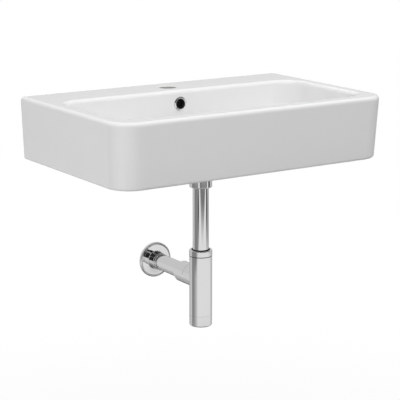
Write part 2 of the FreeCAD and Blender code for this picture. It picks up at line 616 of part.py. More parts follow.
def make_basin():
    body = new_body("basin")
    outside = [
        level_section(body, "outside_at_rim", "rim_level", "half_width", "basin_depth",
                      "back_grinding"),
        level_section(body, "outside_at_foot", "foot_level", "half_foot", "foot_depth",
                      "back_grinding"),
    ]
    loft(body, "outside", outside, straight=True)
    soften(body, "round_top_edge", level_edges(body, "rim_level"), "edge_rounding")
    soften(body, "round_foot_edge", level_edges(body, "foot_level"), "foot_rounding")
    behind = new_sketch(body, "behind_the_back", "XZ_Plane")
    draw_box(behind, "-(half_width + overrun)", "half_width + overrun", "foot_level - overrun",
             "rim_level + overrun")
    extrude(body, "ground_back", behind, "back_grinding + overrun", "Pocket")

    hollow = [
        level_section(body, "hollow_under_deck", "deck_under", "half_under_deck",
                      "depth_under_deck", "-back_wall", "apron_wall"),
        level_section(body, "hollow_at_foot", "foot_level", "half_foot", "foot_depth",
                      "-back_wall", "apron_wall"),
    ]
    loft(body, "hollow_below", hollow, "SubtractiveLoft", straight=True)

    merge(body, "bowl_outside", bowl_form("bowl_outside_form", "bowl_wall", "bowl_wall"), "Fuse")

    channel = new_sketch(body, "channel_block_plan", "XY_Plane", "hub_foot")
    draw_box(channel, "-(channel_width / 2 + channel_wall)", "channel_width / 2 + channel_wall",
             "drain_y", "-(channel_back - channel_wall)")
    extrude(body, "channel_block", channel, "deck_under + 2 * overrun - hub_foot")

    hub = new_sketch(body, "hub_plan", "XY_Plane", "hub_foot")
    draw_circle(hub, "hub_diameter", y="drain_y")
    extrude(body, "hub", hub, "drain_level - bowl_wall / 2 - hub_foot")

    merge(body, "bowl_inside", bowl_form("bowl_inside_form", "0", "0"), "Cut")
    lip_side, lip_back = value("bowl_half + overrun"), value("overrun - ledge_depth")
    soften(body, "round_bowl_lip",
           level_edges(body, "rim_level",
                       lambda x, y: x < lip_side and value("-bowl_front - overrun") < y < lip_back),
           "lip_rounding")

    seat = new_sketch(body, "seat_plan", "XY_Plane", "drain_level + overrun")
    draw_circle(seat, "seat_diameter", y="drain_y")
    extrude(body, "seat", seat, "seat_sink + overrun", "Pocket")
    waste_hole = new_sketch(body, "waste_hole_plan", "XY_Plane", "seat_level")
    draw_circle(waste_hole, "waste_hole_diameter", y="drain_y")
    extrude(body, "waste_hole", waste_hole, "seat_level - hub_foot", "Pocket")
    chamber_inside, chamber_outside = "waste_hole_diameter / 2 - overrun", "seat_diameter / 2"
    turn(body, "overflow_chamber",
         [(chamber_inside, "chamber_foot"), (chamber_outside, "chamber_foot"),
          (chamber_outside, "chamber_top"), (chamber_inside, "chamber_top")],
         "Groove", offset="drain_from_wall")

    across = new_sketch(body, "channel_floor_plan", "XY_Plane", "chamber_top")
    draw_box(across, "-channel_width / 2", "channel_width / 2",
             "drain_y + (waste_hole_diameter + seat_diameter) / 4", "-channel_back")
    extrude(body, "channel_floor", across, "chamber_height", "Pocket")
    down = new_sketch(body, "channel_shaft_plan", "XY_Plane", "deck_under + 2 * overrun")
    draw_box(down, "-channel_width / 2", "channel_width / 2", "-channel_front", "-channel_back")
    extrude(body, "channel_shaft", down, "deck_under + 2 * overrun - chamber_foot", "Pocket")
    before_hole = "4 * overrun"
    overflow = new_sketch(body, "overflow_hole_plan", "XZ_Plane", f"{before_hole} - ring_back")
    overflow.AttachmentOffset.Rotation = FreeCAD.Rotation(Vector(-1, 0, 0), value("bowl_draft"))
    overflow.setExpression("AttachmentOffset.Rotation.Angle", full("bowl_draft"))
    overflow.setExpression("AttachmentOffset.Base.y",
                           full(f"overflow_level + {before_hole} * tan(bowl_draft * 1 deg)"))
    draw_circle(overflow, "overflow_hole_diameter")
    extrude(body, "overflow_hole", overflow, f"{before_hole} + channel_wall + 3 * overrun",
            "Pocket")

    tap_hole = new_sketch(body, "tap_hole_plan", "XY_Plane", "rim_level")
    draw_circle(tap_hole, "tap_hole_diameter", y="-tap_hole_from_wall")
    extrude(body, "tap_hole", tap_hole, "deck_thickness + overrun", "Pocket")
    tap_y, reach = value("-tap_hole_from_wall"), value("tap_hole_diameter / 2 + overrun")
    soften(body, "round_tap_hole",
           level_edges(body, "rim_level", lambda x, y: math.hypot(x, y - tap_y) < reach),
           "tap_hole_rounding")

    fixings = new_sketch(body, "fixing_holes_plan", "XZ_Plane")
    draw_circle(fixings, "fixing_hole_diameter", x="-fixing_spacing / 2")
    draw_circle(fixings, "fixing_hole_diameter", x="fixing_spacing / 2")
    extrude(body, "fixing_holes", fixings, "back_wall + overrun", "Pocket", reverse=True)
    return body


def make_overflow_ring():
    """A ring whose tube stands in the overflow hole, square to the bowl's leaning wall."""
    body = new_body("overflow_ring")
    turn(body, "ring_turn", [
        ("ring_bore / 2", "-ring_thickness"), ("ring_diameter / 2", "-ring_thickness"),
        ("ring_diameter / 2", "0"), ("ring_tube_diameter / 2", "0"),
        ("ring_tube_diameter / 2", "ring_tube_length"), ("ring_bore / 2", "ring_tube_length"),
    ])
    soften(body, "ring_outer_edge", ring_edges(body, "ring_diameter / 2", "-ring_thickness"),
           "ring_rounding")
    soften(body, "ring_inner_edge", ring_edges(body, "ring_bore / 2", "-ring_thickness"),
           "ring_rounding / 2")
    place(body, y="ring_back", z="overflow_level",
          rotation=FreeCAD.Rotation(Vector(-1, 0, 0), 90 + value("bowl_draft")))
    body.setExpression("Placement.Rotation.Angle", full("90 + bowl_draft"))


# ---------------------------------------------------------------------------------------------
# The waste and its click plug
# ---------------------------------------------------------------------------------------------

def make_waste_body():
    body = new_body("waste_body")
    tail, bore = "tail_diameter / 2", "tail_bore / 2"
    turn(body, "tail_and_flange", [
        (bore, "tail_end"), (tail, "tail_end"), (tail, "flange_under"),
        ("flange_diameter / 2", "flange_under"), ("flange_diameter / 2", "flange_top"),
        ("flange_mouth / 2", "flange_top"), (bore, "flange_top - flange_cone_depth"),
    ])
    soften(body, "flange_edge", ring_edges(body, "flange_diameter / 2", "flange_top"),
           "flange_rounding")
    arms = new_sketch(body, "cross_plan", "XY_Plane", "cross_foot")
    half, reach = "cross_arm / 2", "tail_bore / 2 + overrun"
    draw_outline(arms, [
        (half, half), (reach, half), (reach, f"-{half}"), (half, f"-{half}"),
        (half, f"-({reach})"), (f"-{half}", f"-({reach})"), (f"-{half}", f"-{half}"),
        (f"-({reach})", f"-{half}"), (f"-({reach})", half), (f"-{half}", half),
        (f"-{half}", reach), (half, reach),
    ])
    extrude(body, "cross", arms, "cross_height")
    middle = new_sketch(body, "cross_hub_plan", "XY_Plane", "cross_foot")
    draw_circle(middle, "cross_hub_diameter")
    extrude(body, "cross_hub", middle, "cross_height")
    thread = new_sketch(body, "cross_thread_plan", "XY_Plane", "cross_top")
    draw_circle(thread, "stem_diameter + 2 * thread_clearance")
    extrude(body, "cross_thread", thread, "cross_height", "Pocket")
    slot_foot = "(chamber_top + chamber_foot - slot_height) / 2"
    for name, plane in (("front_windows", "XZ_Plane"), ("side_windows", "YZ_Plane")):
        window = new_sketch(body, name + "_plan", plane)
        draw_box(window, "-slot_width / 2", "slot_width / 2", slot_foot,
                 f"{slot_foot} + slot_height")
        extrude(body, name, window, "2 * tail_diameter", "Pocket", both_ways=True)
    return place(body, **ON_DRAIN)


def make_plug():
    """The cap, its seal and its stem, drawn open. The cap comes down by plug_travel."""
    cap = new_body("plug_cap")
    edge, boss, stem = "flange_diameter / 2", "cap_boss_diameter / 2", "stem_diameter / 2"
    turn(cap, "cap_turn", [
        ("0", "cap_under + cap_socket"), (stem, "cap_under + cap_socket"),
        (stem, "boss_foot"), (boss, "boss_foot"), (boss, "cap_under"),
        (f"{edge} - cap_chamfer", "cap_under"), (edge, "cap_under + cap_chamfer"),
        (edge, "cap_under + cap_edge"), ("0", "cap_under + cap_crown"),
    ], crowned=True)
    soften(cap, "cap_top_edge", ring_edges(cap, edge, "cap_under + cap_edge"), "cap_rounding")
    place(cap, **ON_DRAIN)

    # the seal's cone runs beside the flange's cone, seal_gap away when the plug is down
    seat_slope = "(flange_mouth - tail_bore) / 2 / flange_cone_depth"
    seal_under = "flange_top + plug_travel - seal_cone"
    seal_wide = "flange_mouth / 2 - 2 * seal_gap"
    turned_part("plug_seal", [
        (boss, seal_under), (f"{seal_wide} - seal_cone * {seat_slope}", seal_under),
        (seal_wide, "flange_top + plug_travel"), (seal_wide, "cap_under"), (boss, "cap_under"),
    ], **ON_DRAIN)

    collar = "stem_collar_diameter / 2"
    turned_part("plug_stem", [
        ("0", "collar_foot"), (collar, "collar_foot"), (collar, "bush_foot"), (stem, "bush_foot"),
        (stem, "cap_under + cap_socket"), ("0", "cap_under + cap_socket"),
    ], **ON_DRAIN)


def make_cartridge():
    outside, bore, stud = "cartridge_diameter / 2", "cartridge_bore / 2", "stem_diameter / 2"
    turned_part("click_cartridge", [
        ("0", "cross_top - cartridge_stud_length"), (stud, "cross_top - cartridge_stud_length"),
        (stud, "cross_top"), (outside, "cross_top"), (outside, "cartridge_top"),
        (f"{bore} + bush_step", "cartridge_top"), (f"{bore} + bush_step", "bush_foot"),
        (bore, "bush_foot"),
        (bore, "spring_seat"), ("0", "spring_seat"),
    ], **ON_DRAIN)
    ring_part("cartridge_bush", f"{stud} + thread_clearance", f"{bore} + bush_step", "bush_foot",
              "cartridge_top", **ON_DRAIN)

    spring = new_body("click_spring")
    wire = new_sketch(spring, "spring_wire_section", offset="0")
    draw_circle(wire, "spring_wire", x="(spring_diameter - spring_wire) / 2",
                y="spring_seat + spring_wire / 2")
    coil = spring.newObject("PartDesign::AdditiveHelix", "spring_coil")
    coil.Profile = wire
    coil.ReferenceAxis = (wire, ["V_Axis"])
    coil.Mode = 0
    free = "(collar_foot - spring_seat - spring_wire)"
    coil.setExpression("Height", full(free))
    coil.setExpression("Pitch", full(f"{free} / spring_turns"))
    place(spring, **ON_DRAIN)


def make_waste_clamps():
    tail = "tail_diameter / 2"
    ring_part("waste_top_gasket", f"{tail} + thread_clearance",
              "flange_diameter / 2 - gasket_margin", "seat_level", "flange_under", **ON_DRAIN)
    ring_part("waste_lower_gasket", f"{tail} + thread_clearance", "lower_gasket_diameter / 2",
              "lower_gasket_foot", "hub_foot", **ON_DRAIN)
    backnut = new_body("waste_backnut")
    edge, waist = "backnut_diameter / 2", "(backnut_diameter / 2 - backnut_step)"
    rim_foot = "lower_gasket_foot - backnut_rim"
    turn(backnut, "backnut_turn", [
        (f"{tail} + thread_clearance", "backnut_foot"),
        (f"{waist} - backnut_chamfer", "backnut_foot"), (waist, "backnut_foot + backnut_chamfer"),
        (waist, f"{rim_foot} - backnut_chamfer"), (edge, rim_foot), (edge, "lower_gasket_foot"),
        (f"{tail} + thread_clearance", "lower_gasket_foot"),
    ])
    flat = new_sketch(backnut, "spanner_flat_plan", "XY_Plane", "backnut_foot")
    draw_box(flat, f"{waist} - backnut_flat", f"{edge} + overrun", f"-{edge}", edge)
    first = extrude(backnut, "spanner_flat", flat,
                    "backnut_height - backnut_rim - backnut_chamfer", "Pocket", reverse=True)
    doc.recompute()
    flats = backnut.newObject("PartDesign::PolarPattern", "spanner_flats")
    flats.Originals = [first]
    flats.Axis = (flat, ["N_Axis"])
    flats.Angle = 360
    flats.Occurrences = 6
    backnut.Tip = flats
    place(backnut, **ON_DRAIN)


# ---------------------------------------------------------------------------------------------
# The trap
# ---------------------------------------------------------------------------------------------

def make_inlet():
    thread = "tail_diameter / 2 + thread_clearance"
    nut = new_body("inlet_union_nut")
    turn(nut, "nut_turn", [
        ("pipe_hole_radius", "union_foot"), ("nut_diameter / 2", "union_foot"),
        ("nut_diameter / 2", "union_top - nut_chamfer"),
        ("nut_diameter / 2 - nut_chamfer", "union_top"),
        (thread, "union_top"), (thread, "union_floor"), ("pipe_hole_radius", "union_floor"),
    ])
    soften(nut, "nut_lower_edge", ring_edges(nut, "nut_diameter / 2", "union_foot"),
           "nut_rounding")
    place(nut, **ON_DRAIN)
    ring_part("inlet_flat_washer", "pipe_bore_radius", "washer_diameter / 2", "flare_top",
              "tail_end", **ON_DRAIN)
    flare = "washer_diameter / 2 - flare_margin"
    turned_part("inlet_pipe", [
        ("pipe_bore_radius", "dip_end"), ("pipe_radius", "dip_end"), ("pipe_radius", "flare_foot"),
        (flare, "flare_foot"), (flare, "flare_top"), ("pipe_bore_radius", "flare_top"),
    ], **ON_DRAIN)
    ring_part("inlet_slip_ring", "pipe_radius", "washer_diameter / 2", "union_floor", "flare_foot",
              **ON_DRAIN)


def make_collar():
    """The bottle's inlet nut with the slip ring and cone seal that it presses on the pipe."""
    thread = "neck_diameter / 2 + thread_clearance"
    collar = new_body("trap_inlet_nut")
    skirt_foot = "groove_level + groove_gap / 2"
    turn(collar, "collar_turn", [
        ("pipe_hole_radius", "collar_top"), ("pipe_hole_radius", "collar_roof"),
        (thread, "collar_roof"), (thread, skirt_foot),
        ("collar_diameter / 2 - groove_chamfer", skirt_foot),
        ("collar_diameter / 2", f"{skirt_foot} + groove_chamfer"),
        ("collar_diameter / 2", "collar_top"),
    ])
    soften(collar, "collar_top_edge", ring_edges(collar, "collar_diameter / 2", "collar_top"),
           "collar_rounding")
    place(collar, **ON_DRAIN)
    ring_part("trap_inlet_slip_ring", "pipe_radius", "neck_diameter / 2", "collar_seal_top",
              "collar_roof", **ON_DRAIN)
    wide = "pipe_hole_radius + mouth_chamfer"
    turned_part("trap_inlet_seal", [
        ("pipe_radius", "neck_top - mouth_chamfer"), ("pipe_hole_radius", "neck_top - mouth_chamfer"),
        (wide, "neck_top"), (wide, "collar_seal_top"), ("pipe_radius", "collar_seal_top"),
    ], **ON_DRAIN)


def make_trap_body():
    body = new_body("trap_body")
    outside, shoulder = "bottle_diameter / 2", "groove_level - groove_gap / 2"
    turn(body, "bottle_outside", [
        ("0", "seam_level"), (outside, "seam_level"), (outside, f"{shoulder} - groove_chamfer"),
        (f"{outside} - groove_chamfer", shoulder), ("neck_diameter / 2", shoulder),
        ("neck_diameter / 2", "neck_top"), ("0", "neck_top"),
    ])
    for name, diameter, length in (
            ("branch", "branch_diameter", "branch_length"),
            ("branch_spigot", "outlet_spigot_diameter", "branch_length + outlet_spigot_length")):
        circle = new_sketch(body, name + "_section", "XZ_Plane")
        draw_circle(circle, diameter, y="outlet_level")
        extrude(body, name, circle, length, reverse=True)
    wide, inside = "pipe_hole_radius + mouth_chamfer", "bottle_diameter / 2 - bottle_wall"
    roof = f"({shoulder} - bottle_shoulder)"
    turn(body, "bottle_inside", [
        ("0", "seam_level"), (inside, "seam_level"), (inside, roof), ("pipe_hole_radius", roof),
        ("pipe_hole_radius", "neck_top - mouth_chamfer"), (wide, "neck_top"), ("0", "neck_top"),
    ], "Groove")
    water = new_sketch(body, "branch_water_way_section", "XZ_Plane")
    draw_circle(water, "2 * pipe_bore_radius", y="outlet_level")
    extrude(body, "branch_water_way", water, "branch_length", "Pocket", reverse=False)
    socket = new_sketch(body, "branch_socket_section", "XZ_Plane",
                        "-(pipe_start - drain_y)")
    draw_circle(socket, "2 * pipe_hole_radius", y="outlet_level")
    extrude(body, "branch_socket", socket, "pipe_insert + outlet_spigot_length", "Pocket")
    doc.recompute()
    mouth_y, mouth_r = value("outlet_spigot_end - drain_y"), value("pipe_hole_radius")
    mouth = edges_where(body, lambda e: hasattr(e.Curve, "Radius")
                        and abs(e.Curve.Radius - mouth_r) < 1e-4
                        and abs(e.Curve.Center.y - mouth_y) < 1e-4)
    soften(body, "branch_mouth", mouth, "mouth_chamfer", "Chamfer")
    return place(body, **ON_DRAIN)


def make_cup():
    """The base of the bottle. Its spigot screws into the bottle's foot."""
    outside = "bottle_diameter / 2"
    spigot = "bottle_diameter / 2 - bottle_wall - thread_clearance"
    inside = f"{spigot} - spigot_wall"
    shoulder, top = "seam_level - seam_gap", "seam_level + spigot_height"
    groove_foot = "seam_level + o_ring_rise - o_ring_section / 2"
    groove_top = "seam_level + o_ring_rise + o_ring_section / 2"
    groove_radius = f"{spigot} - o_ring_section"
    cup = new_body("cleaning_cup")
    turn(cup, "cup_turn", [
        ("0", "cup_foot"), (outside, "cup_foot"), (outside, shoulder), (spigot, shoulder),
        (spigot, groove_foot), (groove_radius, groove_foot), (groove_radius, groove_top),
        (spigot, groove_top), (spigot, top), (inside, top), (inside, "cup_foot + cup_floor"),
        ("0", "cup_foot + cup_floor"),
    ])
    soften(cup, "cup_lower_edge", ring_edges(cup, outside, "cup_foot"), "cup_rounding")
    place(cup, **ON_DRAIN)

    o_ring = new_body("cup_o_ring")
    section = new_sketch(o_ring, "o_ring_round")
    draw_circle(section, "o_ring_section", x=f"{spigot} - o_ring_section / 2",
                y="seam_level + o_ring_rise")
    feature = o_ring.newObject("PartDesign::Revolution", "o_ring_turn")
    feature.Profile = section
    feature.ReferenceAxis = (section, ["V_Axis"])
    feature.Angle = 360
    place(o_ring, **ON_DRAIN)


def make_outlet():
    """Nut, rings, pipe and rosette along the outlet, each turned about an axis that points +Y."""
    thread = "outlet_spigot_diameter / 2 + thread_clearance"
    outside = "branch_diameter / 2"
    turned_part("outlet_union_nut", [
        (thread, "outlet_nut_start"), (f"{outside} - groove_chamfer / 2", "outlet_nut_start"),
        (outside, "outlet_nut_start + groove_chamfer / 2"),
        (outside, "outlet_nut_end - outlet_nut_chamfer"),
        ("pipe_hole_radius + outlet_nut_land", "outlet_nut_end"),
        ("pipe_hole_radius", "outlet_nut_end"),
        ("pipe_hole_radius", "outlet_floor"), (thread, "outlet_floor"),
    ], **ON_OUTLET)
    ring_part("outlet_slip_ring", "pipe_radius", "outlet_spigot_diameter / 2", "outlet_seal_end",
              "outlet_floor", **ON_OUTLET)
    wide = "pipe_hole_radius + mouth_chamfer"
    turned_part("outlet_cone_seal", [
        ("pipe_radius", "outlet_spigot_end - mouth_chamfer"),
        ("pipe_hole_radius", "outlet_spigot_end - mouth_chamfer"), (wide, "outlet_spigot_end"),
        (wide, "outlet_seal_end"), ("pipe_radius", "outlet_seal_end"),
    ], **ON_OUTLET)
    marked = "pipe_radius - depth_mark_depth"
    turned_part("outlet_pipe", [
        ("pipe_bore_radius", "pipe_start"), ("pipe_radius", "pipe_start"),
        ("pipe_radius", "-depth_mark_width"), (marked, "-depth_mark_width"), (marked, "0"),
        ("pipe_radius", "0"), ("pipe_radius", "wall_insert"), ("pipe_bore_radius", "wall_insert"),
    ], **ON_OUTLET)

    rosette = new_body("wall_rosette")
    edge, sleeve, sheet = "rosette_diameter / 2", "sleeve_diameter / 2", "rosette_sheet"
    turn(rosette, "rosette_turn", [
        (f"{edge} - {sheet}", "0"), (edge, "0"), (edge, "-rosette_height"),
        (sleeve, "-rosette_height - rosette_dish"), (sleeve, "-sleeve_reach"),
        (f"{sleeve} - {sheet}", "-sleeve_reach"),
        (f"{sleeve} - {sheet}", f"-rosette_height + {sheet}"),
        (f"{edge} - {sheet}", f"-rosette_height + {sheet}"),
    ])
    soften(rosette, "rosette_front_edge", ring_edges(rosette, edge, "-rosette_height"),
           "rosette_rounding")
    place(rosette, **ON_OUTLET)
    grip_front = "-rosette_height + rosette_sheet"
    ring_part("rosette_grip_ring", "pipe_radius + thread_clearance", "grip_diameter / 2",
              grip_front, f"{grip_front} + grip_height", **ON_OUTLET)


# ---------------------------------------------------------------------------------------------
# Wall fixings, two of each
# ---------------------------------------------------------------------------------------------

def pair(name, body):
    """The left piece and its mirror image on the right, as one sub-part."""
    body.Label = name + "_left"
    mirror = doc.addObject("Part::Mirroring", name + "_right")
    mirror.Source = body
    mirror.Normal = Vector(1, 0, 0)
    both = doc.addObject("Part::Compound", name)
    both.Links = [body, mirror]
    both.Label = name


def make_fixings():
    """Each piece is turned about its bolt's axis, with its upright axis along Y."""
    at_bolt = {"x": "-fixing_spacing / 2", "rotation": ALONG_Y}
    bolt, screw = "bolt_diameter / 2", "bolt_screw_diameter / 2"
    pair("hanger_bolts", turned_part("bolt", [
        ("0", "-bolt_reach"), (f"{bolt} - bolt_chamfer", "-bolt_reach"),
        (bolt, "bolt_chamfer - bolt_reach"),
        (bolt, "0"), (screw, "0"), (screw, "bolt_anchor - bolt_point"), ("0", "bolt_anchor"),
    ], **at_bolt))

    plug = new_body("plug")
    thread, outside = f"{screw} + thread_clearance", "plug_diameter / 2"
    turn(plug, "plug_turn", [
        (thread, "plug_sink"), (outside, "plug_sink"),
        (outside, "plug_length - plug_taper_length"), (f"{outside} - plug_taper", "plug_length"),
        (thread, "plug_length"),
    ])
    split = new_sketch(plug, "plug_split_plan", "XZ_Plane")
    draw_box(split, "-plug_slot_width / 2", "plug_slot_width / 2",
             "plug_length - plug_slot_length", "plug_length + overrun")
    extrude(plug, "plug_split", split, "2 * plug_diameter", "Pocket", both_ways=True)
    place(plug, **at_bolt)
    pair("wall_plugs", plug)

    hole = f"{bolt} + fixing_clearance"
    tube = "fixing_hole_diameter / 2 - fixing_clearance"
    pair("fixing_sleeves", turned_part("sleeve", [
        (hole, "sleeve_face"), ("sleeve_flange_diameter / 2", "sleeve_face"),
        ("sleeve_flange_diameter / 2", "-back_wall"), (tube, "-back_wall"),
        (tube, "-sleeve_short"), (hole, "-sleeve_short"),
    ], **at_bolt))
    pair("fixing_washers", ring_part("washer", hole, "sleeve_flange_diameter / 2", "washer_face",
                                     "sleeve_face", **at_bolt))

    nut = new_body("nut")
    plan = new_sketch(nut, "hex_plan", "XY_Plane", "hex_face")
    side = "hex_width / 2"
    far, near = f"{side} / cos(30 deg)", f"{side} * tan(30 deg)"
    draw_outline(plan, [(far, "0"), (near, side), (f"-{near}", side), (f"-{far}", "0"),
                        (f"-{near}", f"-{side}"), (near, f"-{side}")])
    draw_circle(plan, "bolt_diameter + 2 * thread_clearance")
    extrude(nut, "hex", plan, "hex_height")
    place(nut, **at_bolt)
    pair("fixing_nuts", nut)


# ---------------------------------------------------------------------------------------------
# Build, check and write
# ---------------------------------------------------------------------------------------------

NODES = [
    "basin", "overflow_ring",
    "waste_body", "waste_top_gasket", "waste_lower_gasket", "waste_backnut",
    "plug_cap", "plug_seal", "plug_stem", "click_cartridge", "cartridge_bush", "click_spring",
    "inlet_union_nut", "inlet_flat_washer", "inlet_pipe", "inlet_slip_ring",
    "trap_inlet_nut", "trap_inlet_slip_ring", "trap_inlet_seal", "trap_body",
    "cleaning_cup", "cup_o_ring",
    "outlet_union_nut", "outlet_slip_ring", "outlet_cone_seal", "outlet_pipe",
    "wall_rosette", "rosette_grip_ring",
    "hanger_bolts", "wall_plugs", "fixing_sleeves", "fixing_washers", "fixing_nuts",
]


def check_document():
    for item in doc.Objects:
        if "Invalid" in item.State or "Error" in item.State:
            raise RuntimeError(f"{item.Label} failed: {item.State}")


def write_parts():
    os.makedirs("parts", exist_ok=True)
    for name in NODES:
        shape = doc.getObjectsByLabel(name)[0].Shape
        if shape.isNull() or not shape.isValid():
            raise RuntimeError(f"{name} has no valid shape")
        box = shape.BoundBox
        print(f"{name:22s} {len(shape.Solids)} solid, {shape.Volume / 1000:9.2f} cm3, "
              f"x {box.XMin:7.1f} {box.XMax:7.1f}  y {box.YMin:7.1f} {box.YMax:7.1f}  "
              f"z {box.ZMin:7.1f} {box.ZMax:7.1f}")
        shape.exportStep(f"parts/{name}.step")


make_basin()
make_overflow_ring()
make_waste_body()
make_plug()
make_cartridge()
make_waste_clamps()
make_inlet()
make_collar()
make_trap_body()
make_cup()
make_outlet()
make_fixings()
doc.recompute()
check_document()
write_parts()
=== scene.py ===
"""The looks of a wall hung wash basin: white glaze over a polished chrome bottle trap.

Metres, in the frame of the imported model: X runs along the wall, Y points into the wall and Z is up.
"""

import json
import math

import bmesh
import bpy
from mathutils import Matrix, Vector


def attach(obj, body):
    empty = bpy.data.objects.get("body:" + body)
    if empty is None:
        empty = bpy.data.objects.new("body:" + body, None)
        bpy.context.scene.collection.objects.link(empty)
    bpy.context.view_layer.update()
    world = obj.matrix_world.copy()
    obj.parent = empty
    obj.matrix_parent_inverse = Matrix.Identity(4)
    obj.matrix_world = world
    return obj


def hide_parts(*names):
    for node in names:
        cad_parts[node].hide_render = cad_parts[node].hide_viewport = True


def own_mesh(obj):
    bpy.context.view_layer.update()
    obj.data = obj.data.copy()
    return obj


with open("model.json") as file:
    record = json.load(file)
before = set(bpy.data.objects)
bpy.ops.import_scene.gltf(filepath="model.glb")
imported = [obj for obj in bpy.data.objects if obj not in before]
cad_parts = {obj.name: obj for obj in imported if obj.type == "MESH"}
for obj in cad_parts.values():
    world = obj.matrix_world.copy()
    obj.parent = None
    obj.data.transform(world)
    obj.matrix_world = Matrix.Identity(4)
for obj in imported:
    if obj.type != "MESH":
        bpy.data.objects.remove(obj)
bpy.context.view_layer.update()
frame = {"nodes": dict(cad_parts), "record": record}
MM = 0.001
SCENE = bpy.context.scene
SCENE.view_settings.view_transform = "Standard"
WHITE = (1, 1, 1, 1)


# ---------------------------------------------------------------------------------------------
# Nodes, for every tree below
# ---------------------------------------------------------------------------------------------

def put(tree, kind, values=None, **settings):
    """A node with its settings, and values or links for its named or numbered inputs."""
    node = tree.nodes.new(kind)
    for name, setting in settings.items():
        setattr(node, name, setting)
    for key, given in (values or {}).items():
        if isinstance(given, bpy.types.NodeSocket):
            tree.links.new(given, node.inputs[key])
        else:
            node.inputs[key].default_value = given
    return node


def maths(tree, operation, first, second=0.0):
    """The outcome of a Math node."""
    return put(tree, "ShaderNodeMath", {0: first, 1: second}, operation=operation).outputs[0]


def vector_maths(tree, operation, first, second=(0, 0, 0), outcome="Vector"):
    """The outcome of a Vector Math node, which is a "Vector" or a "Value"."""
    return put(tree, "ShaderNodeVectorMath", {0: first, 1: second},
               operation=operation).outputs[outcome]


# The numbers of a Mix node's first and second socket, and of its outcome.
MIX_SOCKETS = {"FLOAT": (2, 3, 0), "VECTOR": (4, 5, 1), "RGBA": (6, 7, 2)}


def mix(tree, amount, first, second, kind="FLOAT"):
    """Something that changes from first into second as amount goes from 0 to 1."""
    at_0, at_1, outcome = MIX_SOCKETS[kind]
    return put(tree, "ShaderNodeMix", {0: amount, at_0: first, at_1: second},
               data_type=kind).outputs[outcome]


def mix_looks(tree, amount, first, second):
    """The same as mix, for whole shaders."""
    return put(tree, "ShaderNodeMixShader", {0: amount, 1: first, 2: second}).outputs[0]


def smooth_step(tree, value, low, high, at_low=0.0, at_high=1.0):
    """at_low below low, at_high above high, and a soft change between them."""
    return put(tree, "ShaderNodeMapRange",
               {"Value": value, "From Min": low, "From Max": high, "To Min": at_low,
                "To Max": at_high}, interpolation_type="SMOOTHSTEP").outputs[0]


def object_place(tree):
    """Where a point of the surface is, in the part's own frame."""
    return put(tree, "ShaderNodeTexCoord").outputs["Object"]


def seen_in_mirror(tree, path):
    """1 for what a mirror or glass shows. path holds the outputs of a Light Path node."""
    return maths(tree, "MAXIMUM", path["Is Glossy Ray"], path["Is Transmission Ray"])


def empty_material(name):
    """A material with no nodes yet, and its tree."""
    material = bpy.data.materials.new(name)
    material.use_nodes = True
    material.node_tree.nodes.clear()
    return material, material.node_tree


# ---------------------------------------------------------------------------------------------
# Camera, floor and light
# ---------------------------------------------------------------------------------------------

CAMERA_PLACE = (-1.5455, -2.5314, 0.5158)
CAMERA_DOWN = math.radians(12.95)      # how far it looks down
CAMERA_RIGHT = math.radians(33.23)     # how far it looks to the right of square on
LENS, SENSOR_WIDTH = 133.2, 36         # both in millimetres
SIGHT = 50                             # how far it sees, in metres


def make_camera():
    """A long lens, a little above the rim and to the left of the basin."""
    data = bpy.data.cameras.new("camera")
    data.lens = LENS
    data.sensor_width = SENSOR_WIDTH
    data.clip_end = SIGHT
    camera = bpy.data.objects.new("camera", data)
    camera.location = CAMERA_PLACE
    camera.rotation_euler = (math.pi / 2 - CAMERA_DOWN, 0, -CAMERA_RIGHT)
    SCENE.collection.objects.link(camera)
    SCENE.camera = camera


FLOOR_LEVEL = -0.78
FLOOR_RADIUS = 1.5
FLOOR_SIDES = 96
FLOOR_CENTRE = (0.0, -0.2)
FLOOR_GREY = (0.55, 0.55, 0.55, 1)
FADE_START, FADE_END = 0.3, 0.95       # its fade into the room, as shares of its radius
MIRRORED_FADE_START = 0.4              # the same, in a mirror
WHITE_NEAR, WHITE_FAR = 0.94, 1.0      # how much of the floor's look is plain white
WHITE_MIRRORED = 0.05                  # the same, in a mirror


